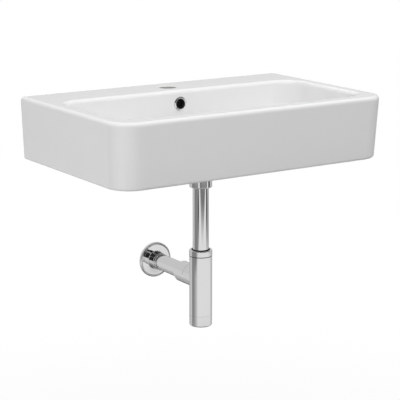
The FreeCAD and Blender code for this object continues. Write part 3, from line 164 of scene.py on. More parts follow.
def make_floor():
    """A round pale floor that fades into the white room and keeps a faint shadow.

    From below it is clear, so that the underside of the basin can be looked at.
    """
    turn = 2 * math.pi / FLOOR_SIDES
    edge = [(FLOOR_CENTRE[0] + FLOOR_RADIUS * math.cos(i * turn),
             FLOOR_CENTRE[1] + FLOOR_RADIUS * math.sin(i * turn), FLOOR_LEVEL)
            for i in range(FLOOR_SIDES)]
    mesh = bpy.data.meshes.new("floor")
    mesh.from_pydata(edge, [], [tuple(range(FLOOR_SIDES))])
    floor = bpy.data.objects.new("floor", mesh)
    SCENE.collection.objects.link(floor)

    material, tree = empty_material("pale floor")
    matt = put(tree, "ShaderNodeBsdfDiffuse", {"Color": FLOOR_GREY}).outputs[0]
    white = put(tree, "ShaderNodeEmission").outputs[0]
    clear = put(tree, "ShaderNodeBsdfTransparent").outputs[0]
    centre = (*FLOOR_CENTRE, FLOOR_LEVEL)
    reach = vector_maths(tree, "DISTANCE", object_place(tree), centre, "Value")
    seen = smooth_step(tree, reach, FADE_START * FLOOR_RADIUS, FADE_END * FLOOR_RADIUS,
                       WHITE_NEAR, WHITE_FAR)
    path = put(tree, "ShaderNodeLightPath").outputs
    mirrored = seen_in_mirror(tree, path)
    share = maths(tree, "MAXIMUM", maths(tree, "MULTIPLY", path["Is Camera Ray"], seen),
                  maths(tree, "MULTIPLY", mirrored, WHITE_MIRRORED))
    faded = maths(tree, "MULTIPLY", mirrored,
                  smooth_step(tree, reach, MIRRORED_FADE_START * FLOOR_RADIUS,
                              FADE_END * FLOOR_RADIUS))
    from_below = put(tree, "ShaderNodeNewGeometry").outputs["Backfacing"]
    unseen = maths(tree, "MAXIMUM", faded, from_below)
    look = mix_looks(tree, unseen, mix_looks(tree, share, matt, white), clear)
    put(tree, "ShaderNodeOutputMaterial", {0: look})
    mesh.materials.append(material)


ROOM_LIGHT = 0.33                      # what falls on matt surfaces from all round
MIRRORED_FRONT = 0.87                  # the room as metal and glaze mirror it
MIRRORED_BACK = 0.54
MIRRORED_HIGH = 0.67                   # its ceiling
MIRRORED_SIDE = 0.25                   # its dark side, which draws the shape of the chrome
BEHIND_CAMERA = 0.08
TO_DARK_SIDE = (-0.837, 0.547, 0.0)
TO_FRONT = (-0.547, -0.837, 0.0)
TO_ROOM = (0.0, -1.0, 0.0)
# Where one part of the room changes into the next: cosines to the directions above, and heights
# of a direction, which are 0 for level and 1 for straight up.
BACK_TO_FRONT = (-0.75, -0.15)
INTO_CEILING = (0.10, 0.30)
INTO_DARK_SIDE = (0.46, 0.97)
DARK_SIDE_FROM_BACK = (-0.45, 0.0)
DARK_FROM_BELOW, DARK_TO_ABOVE = (0.04, 0.12), (0.42, 0.60)    # behind the camera
DARK_FROM_SIDE = (0.35, 0.65)


def make_room():
    """A white room. Mirrors see its back dimmer, one dark side and the dark behind the camera."""
    world = bpy.data.worlds.new("room")
    SCENE.world = world
    world.use_nodes = True
    tree = world.node_tree
    tree.nodes.clear()
    towards = put(tree, "ShaderNodeTexCoord").outputs["Generated"]
    side, front, from_wall = (vector_maths(tree, "DOT_PRODUCT", towards, way, "Value")
                              for way in (TO_DARK_SIDE, TO_FRONT, TO_ROOM))
    up = put(tree, "ShaderNodeSeparateXYZ", {0: towards}).outputs["Z"]
    level = smooth_step(tree, front, *BACK_TO_FRONT, MIRRORED_BACK, MIRRORED_FRONT)
    level = mix(tree, smooth_step(tree, up, *INTO_CEILING), level, MIRRORED_HIGH)
    start, full = INTO_DARK_SIDE
    on_side = put(tree, "ShaderNodeMapRange",
                  {"Value": side, "From Min": start, "From Max": full}).outputs[0]
    in_dark = maths(tree, "MULTIPLY", on_side, smooth_step(tree, front, *DARK_SIDE_FROM_BACK))
    level = mix(tree, in_dark, level, MIRRORED_SIDE)
    at_height = maths(tree, "MULTIPLY", smooth_step(tree, up, *DARK_FROM_BELOW),
                      smooth_step(tree, up, *DARK_TO_ABOVE, 1.0, 0.0))
    at_camera = maths(tree, "MULTIPLY", at_height, smooth_step(tree, from_wall, *DARK_FROM_SIDE))
    level = mix(tree, at_camera, level, BEHIND_CAMERA)
    lighting, mirrored, seen = (
        put(tree, "ShaderNodeBackground", {"Color": WHITE, "Strength": strength}).outputs[0]
        for strength in (ROOM_LIGHT, level, 1.0))
    path = put(tree, "ShaderNodeLightPath").outputs
    unseen = mix_looks(tree, seen_in_mirror(tree, path), lighting, mirrored)
    look = mix_looks(tree, path["Is Camera Ray"], unseen, seen)
    put(tree, "ShaderNodeOutputWorld", {0: look})


CARD_ROWS = 16
UNSEEN_BY = ("camera", "diffuse", "transmission", "volume_scatter", "shadow")
HALF = 0.5                             # of a card's width or height


def make_card(name, places, level, soft_sides, soft_ends, mirrors=1):
    """A dark card that only mirrors see, and only from the side that faces the pipes.

    places holds its corners, round from the low left one, seen from outside. Its softness is a
    share of half its width or height, and rows of faces keep that even where it tapers. With
    mirrors at 2 it shows only in the mirror image of a mirror.
    """
    low_left, low_right, high_right, high_left = (Vector(place) for place in places)
    points, spots, faces = [], [], []
    for row in range(CARD_ROWS + 1):
        share = row / CARD_ROWS
        points += [low_left.lerp(high_left, share), low_right.lerp(high_right, share)]
        spots += [(0, share), (1, share)]
    for row in range(CARD_ROWS):
        faces.append((2 * row, 2 * row + 1, 2 * row + 3, 2 * row + 2))
    mesh = bpy.data.meshes.new(name)
    mesh.from_pydata(points, [], faces)
    layer = mesh.uv_layers.new(name="across").data
    for loop in mesh.loops:
        layer[loop.index].uv = spots[loop.vertex_index]
    card = bpy.data.objects.new(name, mesh)
    SCENE.collection.objects.link(card)
    for kind in UNSEEN_BY:
        setattr(card, "visible_" + kind, False)

    material, tree = empty_material(name)
    uv = put(tree, "ShaderNodeUVMap", uv_map="across").outputs[0]
    along, up, _ = put(tree, "ShaderNodeSeparateXYZ", {0: uv}).outputs
    passed = put(tree, "ShaderNodeLightPath").outputs["Glossy Depth"]
    inside = maths(tree, "MULTIPLY", maths(tree, "GREATER_THAN", passed, mirrors - 0.5),
                   put(tree, "ShaderNodeNewGeometry").outputs["Backfacing"])
    for share, softness in ((along, soft_sides), (up, soft_ends)):
        off_middle = maths(tree, "ABSOLUTE", maths(tree, "SUBTRACT", share, HALF))
        inside = maths(tree, "MULTIPLY", inside,
                       smooth_step(tree, off_middle, HALF - HALF * softness, HALF, 1.0, 0.0))
    clear = put(tree, "ShaderNodeBsdfTransparent").outputs[0]
    dark = put(tree, "ShaderNodeEmission", {"Color": WHITE, "Strength": level}).outputs[0]
    put(tree, "ShaderNodeOutputMaterial", {0: mix_looks(tree, inside, clear, dark)})
    mesh.materials.append(material)


# Each row: name, low left, low right, high right and high left corner, level, softness of the
# sides and of the ends, and the number of mirrors where it isn't 1.
CARDS = [
    ("front card", (-0.16, -0.675, -0.37), (-0.10, -0.675, -0.37), (0.80, -0.675, -0.10),
     (-0.97, -0.675, -0.10), 0.215, 0.35, 1.0),
    ("left edge card", (-0.481, -0.3115, -0.40), (-0.4105, -0.4605, -0.40),
     (-0.4105, -0.4605, -0.12), (-0.481, -0.3115, -0.12), 0.04, 0.4, 1.0),
    ("left card", (-0.466, 0.005, -0.42), (-0.473, -0.336, -0.42), (-0.473, -0.336, -0.16),
     (-0.466, 0.005, -0.16), 0.26, 0.2, 0.4),
    ("right edge card", (0.365, -0.541, -0.40), (0.487, -0.352, -0.40), (0.497, -0.342, -0.06),
     (0.355, -0.561, -0.06), 0.02, 0.4, 0.8),
    ("right card", (0.449, -0.395, -0.40), (0.489, -0.0725, -0.40), (0.489, -0.0725, -0.16),
     (0.449, -0.395, -0.16), 0.38, 0.3, 0.8),
    ("low back card", (0.50, 0.15, -0.56), (-0.02, 0.15, -0.56), (-0.02, 0.15, -0.28),
     (0.50, 0.15, -0.28), 0.08, 0.5, 0.6),
    ("shade in the hollow", (-0.28, -0.37, -0.044), (0.28, -0.37, -0.044),
     (0.28, -0.02, -0.044), (-0.28, -0.02, -0.044), 0.03, 0.04, 0.04, 2),
    ("shade before the rosette", (-0.55, -0.42, -0.30), (0.20, -0.42, -0.30),
     (0.20, -0.42, -0.04), (-0.55, -0.42, -0.04), 0.02, 0.1, 0.1, 2),
    ("shade under the trap", (-0.55, 0.30, -0.77), (0.55, 0.30, -0.77), (0.55, -0.75, -0.77),
     (-0.55, -0.75, -0.77), 0.16, 0.6, 0.6),
]


def make_cards():
    """Dark cards round the pipes. Mirrored in the chrome, they draw its dark streaks."""
    for name, *places_and_looks in CARDS:
        make_card(name, places_and_looks[:4], *places_and_looks[4:])


LAMPS = [    # name, place, width, height, power
    ("left softbox", (-2.7, -0.6, 0.1), 2.2, 1.8, 24),
    ("front softbox", (-0.2, -2.2, 2.1), 1.2, 1.0, 24),
    ("right softbox", (0.5, -0.3, 2.5), 1.6, 1.4, 32),
    ("back softbox", (0.6, 2.4, 0.6), 2.0, 1.6, 18),
]
LAMPS_AIM = (0, -0.2, 0)


def make_lights():
    """Softboxes that mirrors don't see, because the room already stands for them there."""
    for name, place, width, height, power in LAMPS:
        data = bpy.data.lights.new(name, "AREA")
        data.shape = "RECTANGLE"
        data.size, data.size_y = width, height
        data.energy = power
        lamp = bpy.data.objects.new(name, data)
        lamp.location = place
        towards = Vector(LAMPS_AIM) - Vector(place)
        lamp.rotation_euler = towards.to_track_quat("-Z", "Y").to_euler()
        lamp.visible_glossy = False
        SCENE.collection.objects.link(lamp)


# ---------------------------------------------------------------------------------------------
# Shader groups that several finishes share
# ---------------------------------------------------------------------------------------------

def new_group(name, inputs, outputs):
    """A shader group with its named sockets. inputs maps a name to (type, default)."""
    group = bpy.data.node_groups.new(name, "ShaderNodeTree")
    for socket, (kind, default) in inputs.items():
        made = group.interface.new_socket(socket, in_out="INPUT", socket_type="NodeSocket" + kind)
        made.default_value = default
    for socket, kind in outputs.items():
        group.interface.new_socket(socket, in_out="OUTPUT", socket_type="NodeSocket" + kind)
    return group, group.nodes.new("NodeGroupInput").outputs, group.nodes.new("NodeGroupOutput")


FINE, FINER = 2.0, 4.0                 # how much detail noise has


def noise_of(tree, size, detail=FINE):
    """Noise on object coordinates whose blotches are about size across."""
    per_metre = maths(tree, "DIVIDE", 1.0, size)
    return put(tree, "ShaderNodeTexNoise", {"Vector": object_place(tree), "Scale": per_metre,
                                            "Detail": detail}).outputs["Fac"]


def ripple_group():
    """Soft unevenness of a fired, cast or plated surface."""
    group, given, out = new_group(
        "soft ripple", {"Size": ("Float", 0.01), "Height": ("Float", 0.0001)},
        {"Normal": "Vector"})
    bump = put(group, "ShaderNodeBump",
               {"Height": noise_of(group, given["Size"]), "Distance": given["Height"]})
    group.links.new(bump.outputs[0], out.inputs["Normal"])
    return group


BLOTCH_EDGE = (0.42, 0.72)             # noise levels at which a patch begins and is full


def handling_group():
    """Cleaner and duller patches, as fingers and cleaning leave them."""
    group, given, out = new_group(
        "handling marks",
        {"Clean": ("Float", 0.05), "Marked": ("Float", 0.15), "Size": ("Float", 0.02)},
        {"Roughness": "Float"})
    blotch = noise_of(group, given["Size"], FINER)
    patch = smooth_step(group, blotch, *BLOTCH_EDGE, given["Clean"], given["Marked"])
    group.links.new(patch, out.inputs["Roughness"])
    return group


def tint_group():
    """Two close colours in slow drifts."""
    group, given, out = new_group(
        "drifting tint",
        {"Main": ("Color", WHITE), "Drift": ("Color", WHITE), "Size": ("Float", 0.1)},
        {"Color": "Color"})
    drifted = mix(group, noise_of(group, given["Size"]), given["Main"], given["Drift"], "RGBA")
    group.links.new(drifted, out.inputs["Color"])
    return group


def turned_group():
    """Fine lines round a turned piece, one after another along Axis."""
    group, given, out = new_group(
        "turned lines",
        {"Axis": ("Vector", (0, 0, 1)), "Spacing": ("Float", 0.0004),
         "Depth": ("Float", 0.00002)}, {"Normal": "Vector"})
    along = vector_maths(group, "DOT_PRODUCT", object_place(group), given["Axis"], "Value")
    steps = maths(group, "DIVIDE", along, given["Spacing"])
    lines = put(group, "ShaderNodeTexNoise", {"W": steps, "Scale": 1.0, "Detail": FINE},
                noise_dimensions="1D").outputs["Fac"]
    bump = put(group, "ShaderNodeBump", {"Height": lines, "Distance": given["Depth"]})
    group.links.new(bump.outputs[0], out.inputs["Normal"])
    return group


def inside_box_group():
    """1 inside a box, and 0 outside it."""
    group, given, out = new_group(
        "inside a box",
        {"Middle": ("Vector", (0, 0, 0)), "Half Size": ("Vector", (1, 1, 1)),
         "Soft Edge": ("Float", 0.0002)}, {"Mask": "Float"})
    off = vector_maths(group, "SUBTRACT", object_place(group), given["Middle"])
    past = vector_maths(group, "SUBTRACT", vector_maths(group, "ABSOLUTE", off),
                        given["Half Size"])
    x, y, z = put(group, "ShaderNodeSeparateXYZ", {0: past}).outputs
    most = maths(group, "MAXIMUM", maths(group, "MAXIMUM", x, y), z)
    mask = smooth_step(group, most, 0.0, given["Soft Edge"], 1.0, 0.0)
    group.links.new(mask, out.inputs["Mask"])
    return group


RIPPLE = ripple_group()
HANDLING = handling_group()
TINT = tint_group()
TURNED = turned_group()
INSIDE_BOX = inside_box_group()


def from_group(tree, group, values):
    """What a shared group puts out, with values for its inputs."""
    return put(tree, "ShaderNodeGroup", values, node_tree=group).outputs[0]


# ---------------------------------------------------------------------------------------------
# Finishes
# ---------------------------------------------------------------------------------------------

def new_finish(name, plain, linked):
    """A material: plain values go on the shader's sockets, and linked ones come from groups.

    linked maps a shader socket to (group, values for the group's inputs).
    """
    material = bpy.data.materials.new(name)
    material.use_nodes = True
    tree = material.node_tree
    shader = tree.nodes["Principled BSDF"]
    for socket, given in plain.items():
        shader.inputs[socket].default_value = given
    for socket, (group, values) in linked.items():
        tree.links.new(from_group(tree, group, values), shader.inputs[socket])
    return material


def rgb(red, green, blue):
    """An opaque colour."""
    return (red, green, blue, 1)


# The bare parts of the casting, as boxes: the ground back, the foot it was fired on, and the holes,
# whose clay also carries painted shade.
BARE_BACK = {"Middle": (0, 0.0045, 0), "Half Size": (1, 0.0050, 1), "Soft Edge": 0.0005}
BARE_FOOT = {"Middle": (0, -0.2, -0.0515), "Half Size": (1, 0.196, 0.0050), "Soft Edge": 0.0005}
TAP_HOLE = {"Middle": (0, -0.054, 0.0665), "Half Size": (0.0177, 0.0177, 0.0064),
            "Soft Edge": 0.0004}
OVERFLOW_CHANNEL = {"Middle": (0, -0.088, -0.10), "Half Size": (0.0151, 0.0051, 0.1621),
                    "Soft Edge": 0.0001}

GLAZE_COAT = 0.35                      # weight of the clear coat over the glaze
GLAZE_TINT = {"Main": rgb(0.92, 0.92, 0.92), "Drift": rgb(0.90, 0.90, 0.90), "Size": 0.09}
CLAY_TINT = {"Main": rgb(0.78, 0.76, 0.72), "Drift": rgb(0.70, 0.68, 0.64), "Size": 0.02}
# Painted shade: a darker clay in the tap hole, for the shade inside it.
TAP_HOLE_SHADE_TINT = {"Main": rgb(0.60, 0.59, 0.56), "Drift": rgb(0.48, 0.47, 0.44), "Size": 0.01}
# Painted shade: a near black clay in the overflow's channel, for the shade deep inside it.
CHANNEL_SHADE_TINT = {"Main": rgb(0.05, 0.05, 0.05), "Drift": rgb(0.03, 0.03, 0.03), "Size": 0.02}
GLOSSY = {"Clean": 0.07, "Marked": 0.13, "Size": 0.03}
CHALKY = {"Clean": 0.60, "Marked": 0.80, "Size": 0.01}
SLOW_RIPPLE = {"Size": 0.018, "Height": 0.00004}
GRAIN = {"Size": 0.0012, "Height": 0.00010}


def make_ceramic():
    """Fired white glaze, almost a mirror, and bare clay where the casting stood and was ground.

    The clay in the tap hole is darkened, and in the overflow's channel painted near black: painted
    shade in these holes.
    """
    material = new_finish("white glaze and bare clay", {"IOR": 1.52, "Coat Roughness": 0.03}, {})
    tree = material.node_tree
    back, foot, tap, channel = (from_group(tree, INSIDE_BOX, where)
                                for where in (BARE_BACK, BARE_FOOT, TAP_HOLE, OVERFLOW_CHANNEL))
    bare = channel
    for more in (back, foot, tap):
        bare = maths(tree, "MAXIMUM", bare, more)
    white, clay, tap_hole_shade, channel_shade = (from_group(tree, TINT, tint)
                                  for tint in (GLAZE_TINT, CLAY_TINT, TAP_HOLE_SHADE_TINT, CHANNEL_SHADE_TINT))
    # Painted shade: the holes' clay is darkened where shade falls in them.
    clay = mix(tree, channel, mix(tree, tap, clay, tap_hole_shade, "RGBA"), channel_shade, "RGBA")
    glossy, chalky = (from_group(tree, HANDLING, marks) for marks in (GLOSSY, CHALKY))
    slow, grainy = (from_group(tree, RIPPLE, ripple) for ripple in (SLOW_RIPPLE, GRAIN))
    for socket, given in {"Base Color": mix(tree, bare, white, clay, "RGBA"),
                          "Roughness": mix(tree, bare, glossy, chalky),
                          "Coat Weight": mix(tree, bare, GLAZE_COAT, 0.0),
                          "Normal": mix(tree, bare, slow, grainy, "VECTOR")}.items():
        tree.links.new(given, tree.nodes["Principled BSDF"].inputs[socket])
    return material


def make_chrome():
    """Bright plated brass with faint fingermarks."""
    return new_finish(
        "polished chrome", {"Metallic": 1.0},
        {"Base Color": (TINT, {"Main": rgb(0.81, 0.81, 0.815), "Drift": rgb(0.78, 0.78, 0.785),
                               "Size": 0.05}),
         "Roughness": (HANDLING, {"Clean": 0.03, "Marked": 0.09, "Size": 0.012}),
         "Normal": (RIPPLE, {"Size": 0.02, "Height": 0.00003})})


def make_brass():
    """Brass with the fine lines of turning."""
    return new_finish(
        "turned brass", {"Metallic": 1.0},
        {"Base Color": (TINT, {"Main": rgb(0.70, 0.50, 0.22), "Drift": rgb(0.60, 0.42, 0.19),
                               "Size": 0.01}),
         "Roughness": (HANDLING, {"Clean": 0.22, "Marked": 0.38, "Size": 0.006}),
         "Normal": (TURNED, {"Axis": (0, 0, 1), "Spacing": 0.0004, "Depth": 0.00003})})


def make_rubber():
    """Dull black rubber with a fine grain."""
    return new_finish(
        "black rubber", {"IOR": 1.5},
        {"Base Color": (TINT, {"Main": rgb(0.022, 0.022, 0.023), "Drift": rgb(0.035, 0.035, 0.035),
                               "Size": 0.008}),
         "Roughness": (HANDLING, {"Clean": 0.5, "Marked": 0.75, "Size": 0.006}),
         "Normal": (RIPPLE, {"Size": 0.0008, "Height": 0.00003})})


def make_white_plastic():
    """Moulded plastic of the slip rings, the bush and the sleeves."""
    return new_finish(
        "white plastic", {"IOR": 1.5},
        {"Base Color": (TINT, {"Main": rgb(0.76, 0.76, 0.74), "Drift": rgb(0.71, 0.71, 0.69),
                               "Size": 0.02}),
         "Roughness": (HANDLING, {"Clean": 0.32, "Marked": 0.45, "Size": 0.01}),
         "Normal": (RIPPLE, {"Size": 0.0015, "Height": 0.00002})})


def make_nylon():
    """Grey nylon of the wall plugs."""
    return new_finish(
        "grey nylon", {"IOR": 1.53},
        {"Base Color": (TINT, {"Main": rgb(0.19, 0.195, 0.20), "Drift": rgb(0.23, 0.235, 0.24),
                               "Size": 0.015}),
         "Roughness": (HANDLING, {"Clean": 0.38, "Marked": 0.55, "Size": 0.008}),
         "Normal": (RIPPLE, {"Size": 0.001, "Height": 0.00003})})


def make_zinc():
    """Plated steel of the bolts, the washers, the nuts and the spring."""
    return new_finish(
        "bright zinc", {"Metallic": 1.0},
        {"Base Color": (TINT, {"Main": rgb(0.66, 0.68, 0.70), "Drift": rgb(0.56, 0.58, 0.62),
                               "Size": 0.006}),
         "Roughness": (HANDLING, {"Clean": 0.2, "Marked": 0.36, "Size": 0.004}),
         "Normal": (RIPPLE, {"Size": 0.0008, "Height": 0.00002})})


FINISH_OF_SLOT = {
    "glaze": make_ceramic(),
    "chrome": make_chrome(),
    "brass": make_brass(),
    "black_rubber": make_rubber(),
    "white_plastic": make_white_plastic(),
    "grey_plastic": make_nylon(),
    "steel": make_zinc(),
}
SLOT_OF_NODE = {s["node"]: s["material_slot"] for s in frame["record"]["subparts"]}


# ---------------------------------------------------------------------------------------------
# The solids, with their finishes
# ---------------------------------------------------------------------------------------------

def give_finish(piece, slot):
    """Gives a piece the one finish of its material slot."""
    piece.data.materials.clear()
    piece.data.materials.append(FINISH_OF_SLOT[slot])


def finish_solids():
    """Gives every solid of the model its finish."""
    for node, solid in frame["nodes"].items():
        give_finish(solid, SLOT_OF_NODE[node])


# ---------------------------------------------------------------------------------------------
# Turned pieces: the drawn rosette, the overflow's ring, and black rubber lips as painted shade in the
# trap's gaps
# ---------------------------------------------------------------------------------------------

CIRCLE_SIDES = 128
CORNER_STEPS = 6                       # faces across a rounded corner
SHARP_ANGLE = math.radians(32)
MERGED_WITHIN = 1e-7                   # points closer than this become one


def rounded(profile):
    """Points of a closed outline. profile holds (radius, height, rounding) in millimetres."""
    points = []
    for i, (radius, height, rounding) in enumerate(profile):
        here = Vector((radius, height))
        if not rounding:
            points.append(here)
            continue
        before = Vector(profile[i - 1][:2]) - here
        after = Vector(profile[(i + 1) % len(profile)][:2]) - here
        half = before.angle(after) / 2
        start = here + before.normalized() * (rounding / math.tan(half))
        end = here + after.normalized() * (rounding / math.tan(half))
        middle = here + (before.normalized() + after.normalized()).normalized() * (
            rounding / math.sin(half))
        for step in range(CORNER_STEPS + 1):
            on_chord = start.lerp(end, step / CORNER_STEPS)
            points.append(middle + (on_chord - middle).normalized() * rounding)
    return [point * MM for point in points]


def add_piece(name, mesh, body, slot, nodes=()):
    """Puts a finished mesh into the scene on its body, with its finish."""
    piece = bpy.data.objects.new(name, mesh)
    SCENE.collection.objects.link(piece)
    give_finish(piece, slot)
    if nodes:
        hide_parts(*nodes)
    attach(piece, body)
    return piece


def turned_mesh(name, outlines):
    """A mesh of closed outlines turned about axes. outlines holds (profile, to_place) pairs."""
    shape = bmesh.new()
    for profile, to_place in outlines:
        rings = []
        outline = rounded(profile)
        for side in range(CIRCLE_SIDES):
            turn = 2 * math.pi * side / CIRCLE_SIDES
            rings.append([shape.verts.new(to_place(radius * math.cos(turn),
                                                   radius * math.sin(turn), height))
                          for radius, height in outline])
        for side, ring in enumerate(rings):
            following = rings[(side + 1) % CIRCLE_SIDES]
            for i in range(len(ring)):
                after = (i + 1) % len(ring)
                shape.faces.new([ring[i], ring[after], following[after], following[i]])
    bmesh.ops.remove_doubles(shape, verts=shape.verts, dist=MERGED_WITHIN)
    bmesh.ops.recalc_face_normals(shape, faces=shape.faces)
    mesh = bpy.data.meshes.new(name)
    shape.to_mesh(mesh)
    shape.free()
    mesh.shade_smooth()
    mesh.set_sharp_from_angle(angle=SHARP_ANGLE)
    return mesh


OUTLET_LEVEL = -0.2915                 # height of the outlet pipe's axis
DRAIN_Y = -0.175                       # place of the upright axis, at x = 0
OVERFLOW_MIDDLE = Vector((0, -0.101415, 0.048))
OVERFLOW_LEAN = Matrix.Rotation(math.radians(-93), 3, "X")


def on_outlet(across, up, along):
    """A point about the outlet pipe's axis. along is negative towards the room."""
    return (across, along, OUTLET_LEVEL + up)


def on_drain(x, y, z):
    """A point about the upright axis through the drain and the trap."""
    return (x, DRAIN_Y + y, z)


def in_overflow(x, y, along):
    """A point about the overflow ring's axis, which leans as the bowl's wall does."""
    return OVERFLOW_LEAN @ Vector((x, y, along)) + OVERFLOW_MIDDLE


# The drawn cover plate: a rolled rim, a groove inside it, a dished face and a stepped sleeve.
ROSETTE = [
    (36.4, 0, 0), (36.4, -6.5, 2.4), (33.8, -6.5, 0.7), (33.0, -5.0, 0.6), (31.8, -5.3, 0.6),
    (17.9, -5.6, 1.6), (17.7, -23.0, 0.2), (17.2, -23.6, 0.2), (17.2, -25.0, 0.2),
    (17.5, -25.4, 0.2), (17.5, -30.0, 0.8), (16.1, -30.0, 0.2), (16.5, -4.6, 0.5),
    (34.6, -3.6, 0.6), (35.2, 0, 0),
]
# The overflow's ring: a coned flange round its mouth, and a tube through the ceramic.
OVERFLOW_RING = [
    (14.0, 0, 0), (14.0, -0.9, 0.5), (11.0, -1.95, 0.7), (10.25, -1.3, 0.3), (10.25, 9.0, 0.2),
    (11.3, 9.0, 0.2), (11.3, 0, 0),
]
# Black rubber lips where the pipe enters the collar and between collar and bottle: painted gap shade.
COLLAR_SHADE_LIP = [(16.02, -232.2, 0), (18.6, -232.2, 0), (18.3, -230.6, 0.4), (16.02, -230.8, 0.4)]
BOTTLE_SHADE_LIP = [(20.0, -244.1, 0), (22.75, -244.1, 0.25), (22.75, -243.3, 0.25), (20.0, -243.3, 0)]


def make_turned_pieces():
    """The rosette and the overflow's ring in place of their plain solids, and the trap's black lips,
    painted shade in its gaps.
    """
    add_piece("wall_rosette_plate", turned_mesh("wall_rosette_plate", [(ROSETTE, on_outlet)]),
              "rosette", "chrome", ["wall_rosette"])
    add_piece("overflow_mouth", turned_mesh("overflow_mouth", [(OVERFLOW_RING, in_overflow)]),
              "basin_and_pipes", "chrome", ["overflow_ring"])
    # Black rings that are painted shade in the trap's gaps.
    shade_lips = [(COLLAR_SHADE_LIP, on_drain), (BOTTLE_SHADE_LIP, on_drain)]
    add_piece("trap_collar_shade_lips", turned_mesh("trap_collar_shade_lips", shade_lips), "basin_and_pipes",
              "black_rubber")


# ---------------------------------------------------------------------------------------------
# Threads and barbs, which repeat round and along their pieces
# ---------------------------------------------------------------------------------------------

TURN_STEPS = 40                        # straight pieces in a turn of a thread
BEND_POINTS = 24                       # points along a barb's half ring
BARB_SIDES = 3                         # a barb's section is a triangle
UPRIGHT = (math.pi / 2, 0, 0)          # stands a flat arc across the plug's axis
HALF_ROUND = (0, math.pi, 0)           # turns it to the plug's other half
TO_WALL = (-math.pi / 2, 0, 0)         # turns an upright thread to point into the wall


def new_geometry(name, inputs):
    """A geometry tree with its named inputs. inputs maps a name to (type, default)."""
    tree = bpy.data.node_groups.new(name, "GeometryNodeTree")
    for socket, (kind, default) in inputs.items():
        made = tree.interface.new_socket(socket, in_out="INPUT", socket_type="NodeSocket" + kind)
        made.default_value = default
    tree.interface.new_socket("Geometry", in_out="OUTPUT", socket_type="NodeSocketGeometry")
    return tree, tree.nodes.new("NodeGroupInput").outputs, tree.nodes.new("NodeGroupOutput")


def finish_tree(tree, out, geometry, slot):
    """Ends a geometry tree: real copies instead of instances, and the finish."""
    real = put(tree, "GeometryNodeRealizeInstances", {0: geometry}).outputs[0]
    finished = put(tree, "GeometryNodeSetMaterial",
                   {"Geometry": real, "Material": FINISH_OF_SLOT[slot]}).outputs[0]
    tree.links.new(finished, out.inputs[0])


def copies_along(tree, shape, count, first, step):
    """Instances of a shape on a straight row of points."""
    row = put(tree, "GeometryNodeMeshLine",
              {"Count": count, "Start Location": first, "Offset": step}, mode="OFFSET").outputs[0]
    return put(tree, "GeometryNodeInstanceOnPoints", {"Points": row, "Instance": shape}).outputs[0]


def thread_tree(slot):
    """A ridge or wire wound round an axis as a right hand thread, on one or more bolts."""
    tree, given, out = new_geometry(
        "thread " + slot,
        {"Radius": ("Float", 0.005), "Turns": ("Float", 10.0), "Length": ("Float", 0.02),
         "Ridge": ("Float", 0.0005), "Ridge Sides": ("Int", 4), "Lean": ("Vector", (0, 0, 0)),
         "Bolts": ("Int", 1), "First": ("Vector", (0, 0, 0)), "Next": ("Vector", (0, 0, 0))})
    winding = put(tree, "GeometryNodeCurveSpiral",
                  {"Resolution": TURN_STEPS, "Rotations": given["Turns"],
                   "Start Radius": given["Radius"], "End Radius": given["Radius"],
                   "Height": given["Length"], "Reverse": True}).outputs[0]
    ridge = put(tree, "GeometryNodeCurvePrimitiveCircle",
                {"Resolution": given["Ridge Sides"], "Radius": given["Ridge"]}).outputs[0]
    wound = put(tree, "GeometryNodeCurveToMesh",
                {"Curve": winding, "Profile Curve": ridge, "Fill Caps": True}).outputs[0]
    leaning = put(tree, "GeometryNodeTransform",
                  {"Geometry": wound, "Rotation": given["Lean"]}).outputs[0]
    placed = copies_along(tree, leaning, given["Bolts"], given["First"], given["Next"])
    finish_tree(tree, out, placed, slot)
    return tree


def barb_tree(slot):
    """Two rows of half rings along a split wall plug, on one or more plugs side by side."""
    tree, given, out = new_geometry(
        "barbs " + slot,
        {"Radius": ("Float", 0.007), "Half Turn": ("Float", 2.9), "Barb": ("Float", 0.0005),
         "Barbs": ("Int", 12), "First": ("Vector", (0, 0, 0)), "Pitch": ("Vector", (0, 0.004, 0)),
         "Plugs": ("Int", 2), "Next": ("Vector", (0, 0, 0))})
    start = maths(tree, "MULTIPLY", given["Half Turn"], -0.5)
    bend = put(tree, "GeometryNodeCurveArc",
               {"Resolution": BEND_POINTS, "Radius": given["Radius"], "Start Angle": start,
                "Sweep Angle": given["Half Turn"]}).outputs[0]
    edge = put(tree, "GeometryNodeCurvePrimitiveCircle",
               {"Resolution": BARB_SIDES, "Radius": given["Barb"]}).outputs[0]
    half = put(tree, "GeometryNodeCurveToMesh",
               {"Curve": bend, "Profile Curve": edge, "Fill Caps": True}).outputs[0]
    right = put(tree, "GeometryNodeTransform",
                {"Geometry": half, "Rotation": UPRIGHT}).outputs[0]
    left = put(tree, "GeometryNodeTransform",
               {"Geometry": right, "Rotation": HALF_ROUND}).outputs[0]
    ring = tree.nodes.new("GeometryNodeJoinGeometry")
    for side in (right, left):
        tree.links.new(side, ring.inputs[0])
    one_plug = copies_along(tree, ring.outputs[0], given["Barbs"], given["First"], given["Pitch"])
    all_plugs = copies_along(tree, one_plug, given["Plugs"], (0, 0, 0), given["Next"])
    finish_tree(tree, out, all_plugs, slot)
    return tree


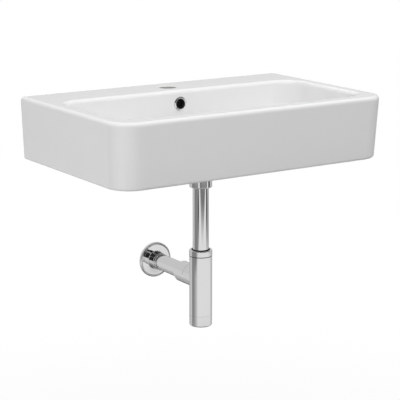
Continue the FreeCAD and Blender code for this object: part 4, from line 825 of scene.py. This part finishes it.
def grow(name, tree, values, body, slot, nodes=()):
    """Runs a geometry tree with its values and puts the result in as a plain mesh."""
    seed = bpy.data.objects.new(name + "_seed", bpy.data.meshes.new(name + "_seed"))
    SCENE.collection.objects.link(seed)
    modifier = seed.modifiers.new("grow", "NODES")
    modifier.node_group = tree
    for item in tree.interface.items_tree:
        if item.item_type == "SOCKET" and item.in_out == "INPUT" and item.name in values:
            modifier[item.identifier] = values[item.name]
    graph = bpy.context.evaluated_depsgraph_get()
    mesh = bpy.data.meshes.new_from_object(seed.evaluated_get(graph))
    mesh.name = name
    seed.modifiers.remove(modifier)
    bpy.data.objects.remove(seed)
    return add_piece(name, mesh, body, slot, nodes)


LEFT_BOLT = -0.14                      # place of the left wall fixing along the wall
NEXT_BOLT = (0.28, 0, 0)               # the way from it to the right one
WASTE_THREAD = {"Radius": 0.0205, "Turns": 10.8, "Length": 0.0249, "Ridge": 0.0010,
                "First": (0, DRAIN_Y, -0.0837)}
BOLT_THREADS = {"Radius": 0.0047, "Turns": 27.0, "Length": 0.0405, "Ridge": 0.0006,
                "Lean": TO_WALL, "Bolts": 2, "First": (LEFT_BOLT, -0.0410, 0), "Next": NEXT_BOLT}
CLICK_SPRING = {"Radius": 0.00485, "Turns": 6.0, "Length": 0.0161, "Ridge": 0.00045,
                "Ridge Sides": 12, "First": (0, DRAIN_Y, -0.03705)}
PLUG_BARBS = {"Radius": 0.0068, "Half Turn": 2.86, "Barb": 0.0006, "Barbs": 15,
              "First": (LEFT_BOLT, 0.0065, 0), "Pitch": (0, 0.0042, 0), "Plugs": 2,
              "Next": NEXT_BOLT}


def make_threads():
    """The threads, the plugs' barbs, and the click's spring, which the plug presses together."""
    grow("waste_thread", thread_tree("chrome"), WASTE_THREAD, "basin_and_pipes", "chrome")
    grow("hanger_bolt_threads", thread_tree("steel"), BOLT_THREADS, "basin_and_pipes", "steel")
    grow("wall_plug_barbs", barb_tree("grey_plastic"), PLUG_BARBS, "basin_and_pipes",
         "grey_plastic")
    spring = grow("click_spring_coil", thread_tree("steel"), CLICK_SPRING, "basin_and_pipes",
                  "steel", ["click_spring"])
    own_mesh(spring)


make_camera()
make_floor()
make_room()
make_cards()
make_lights()
finish_solids()
make_turned_pieces()
make_threads()
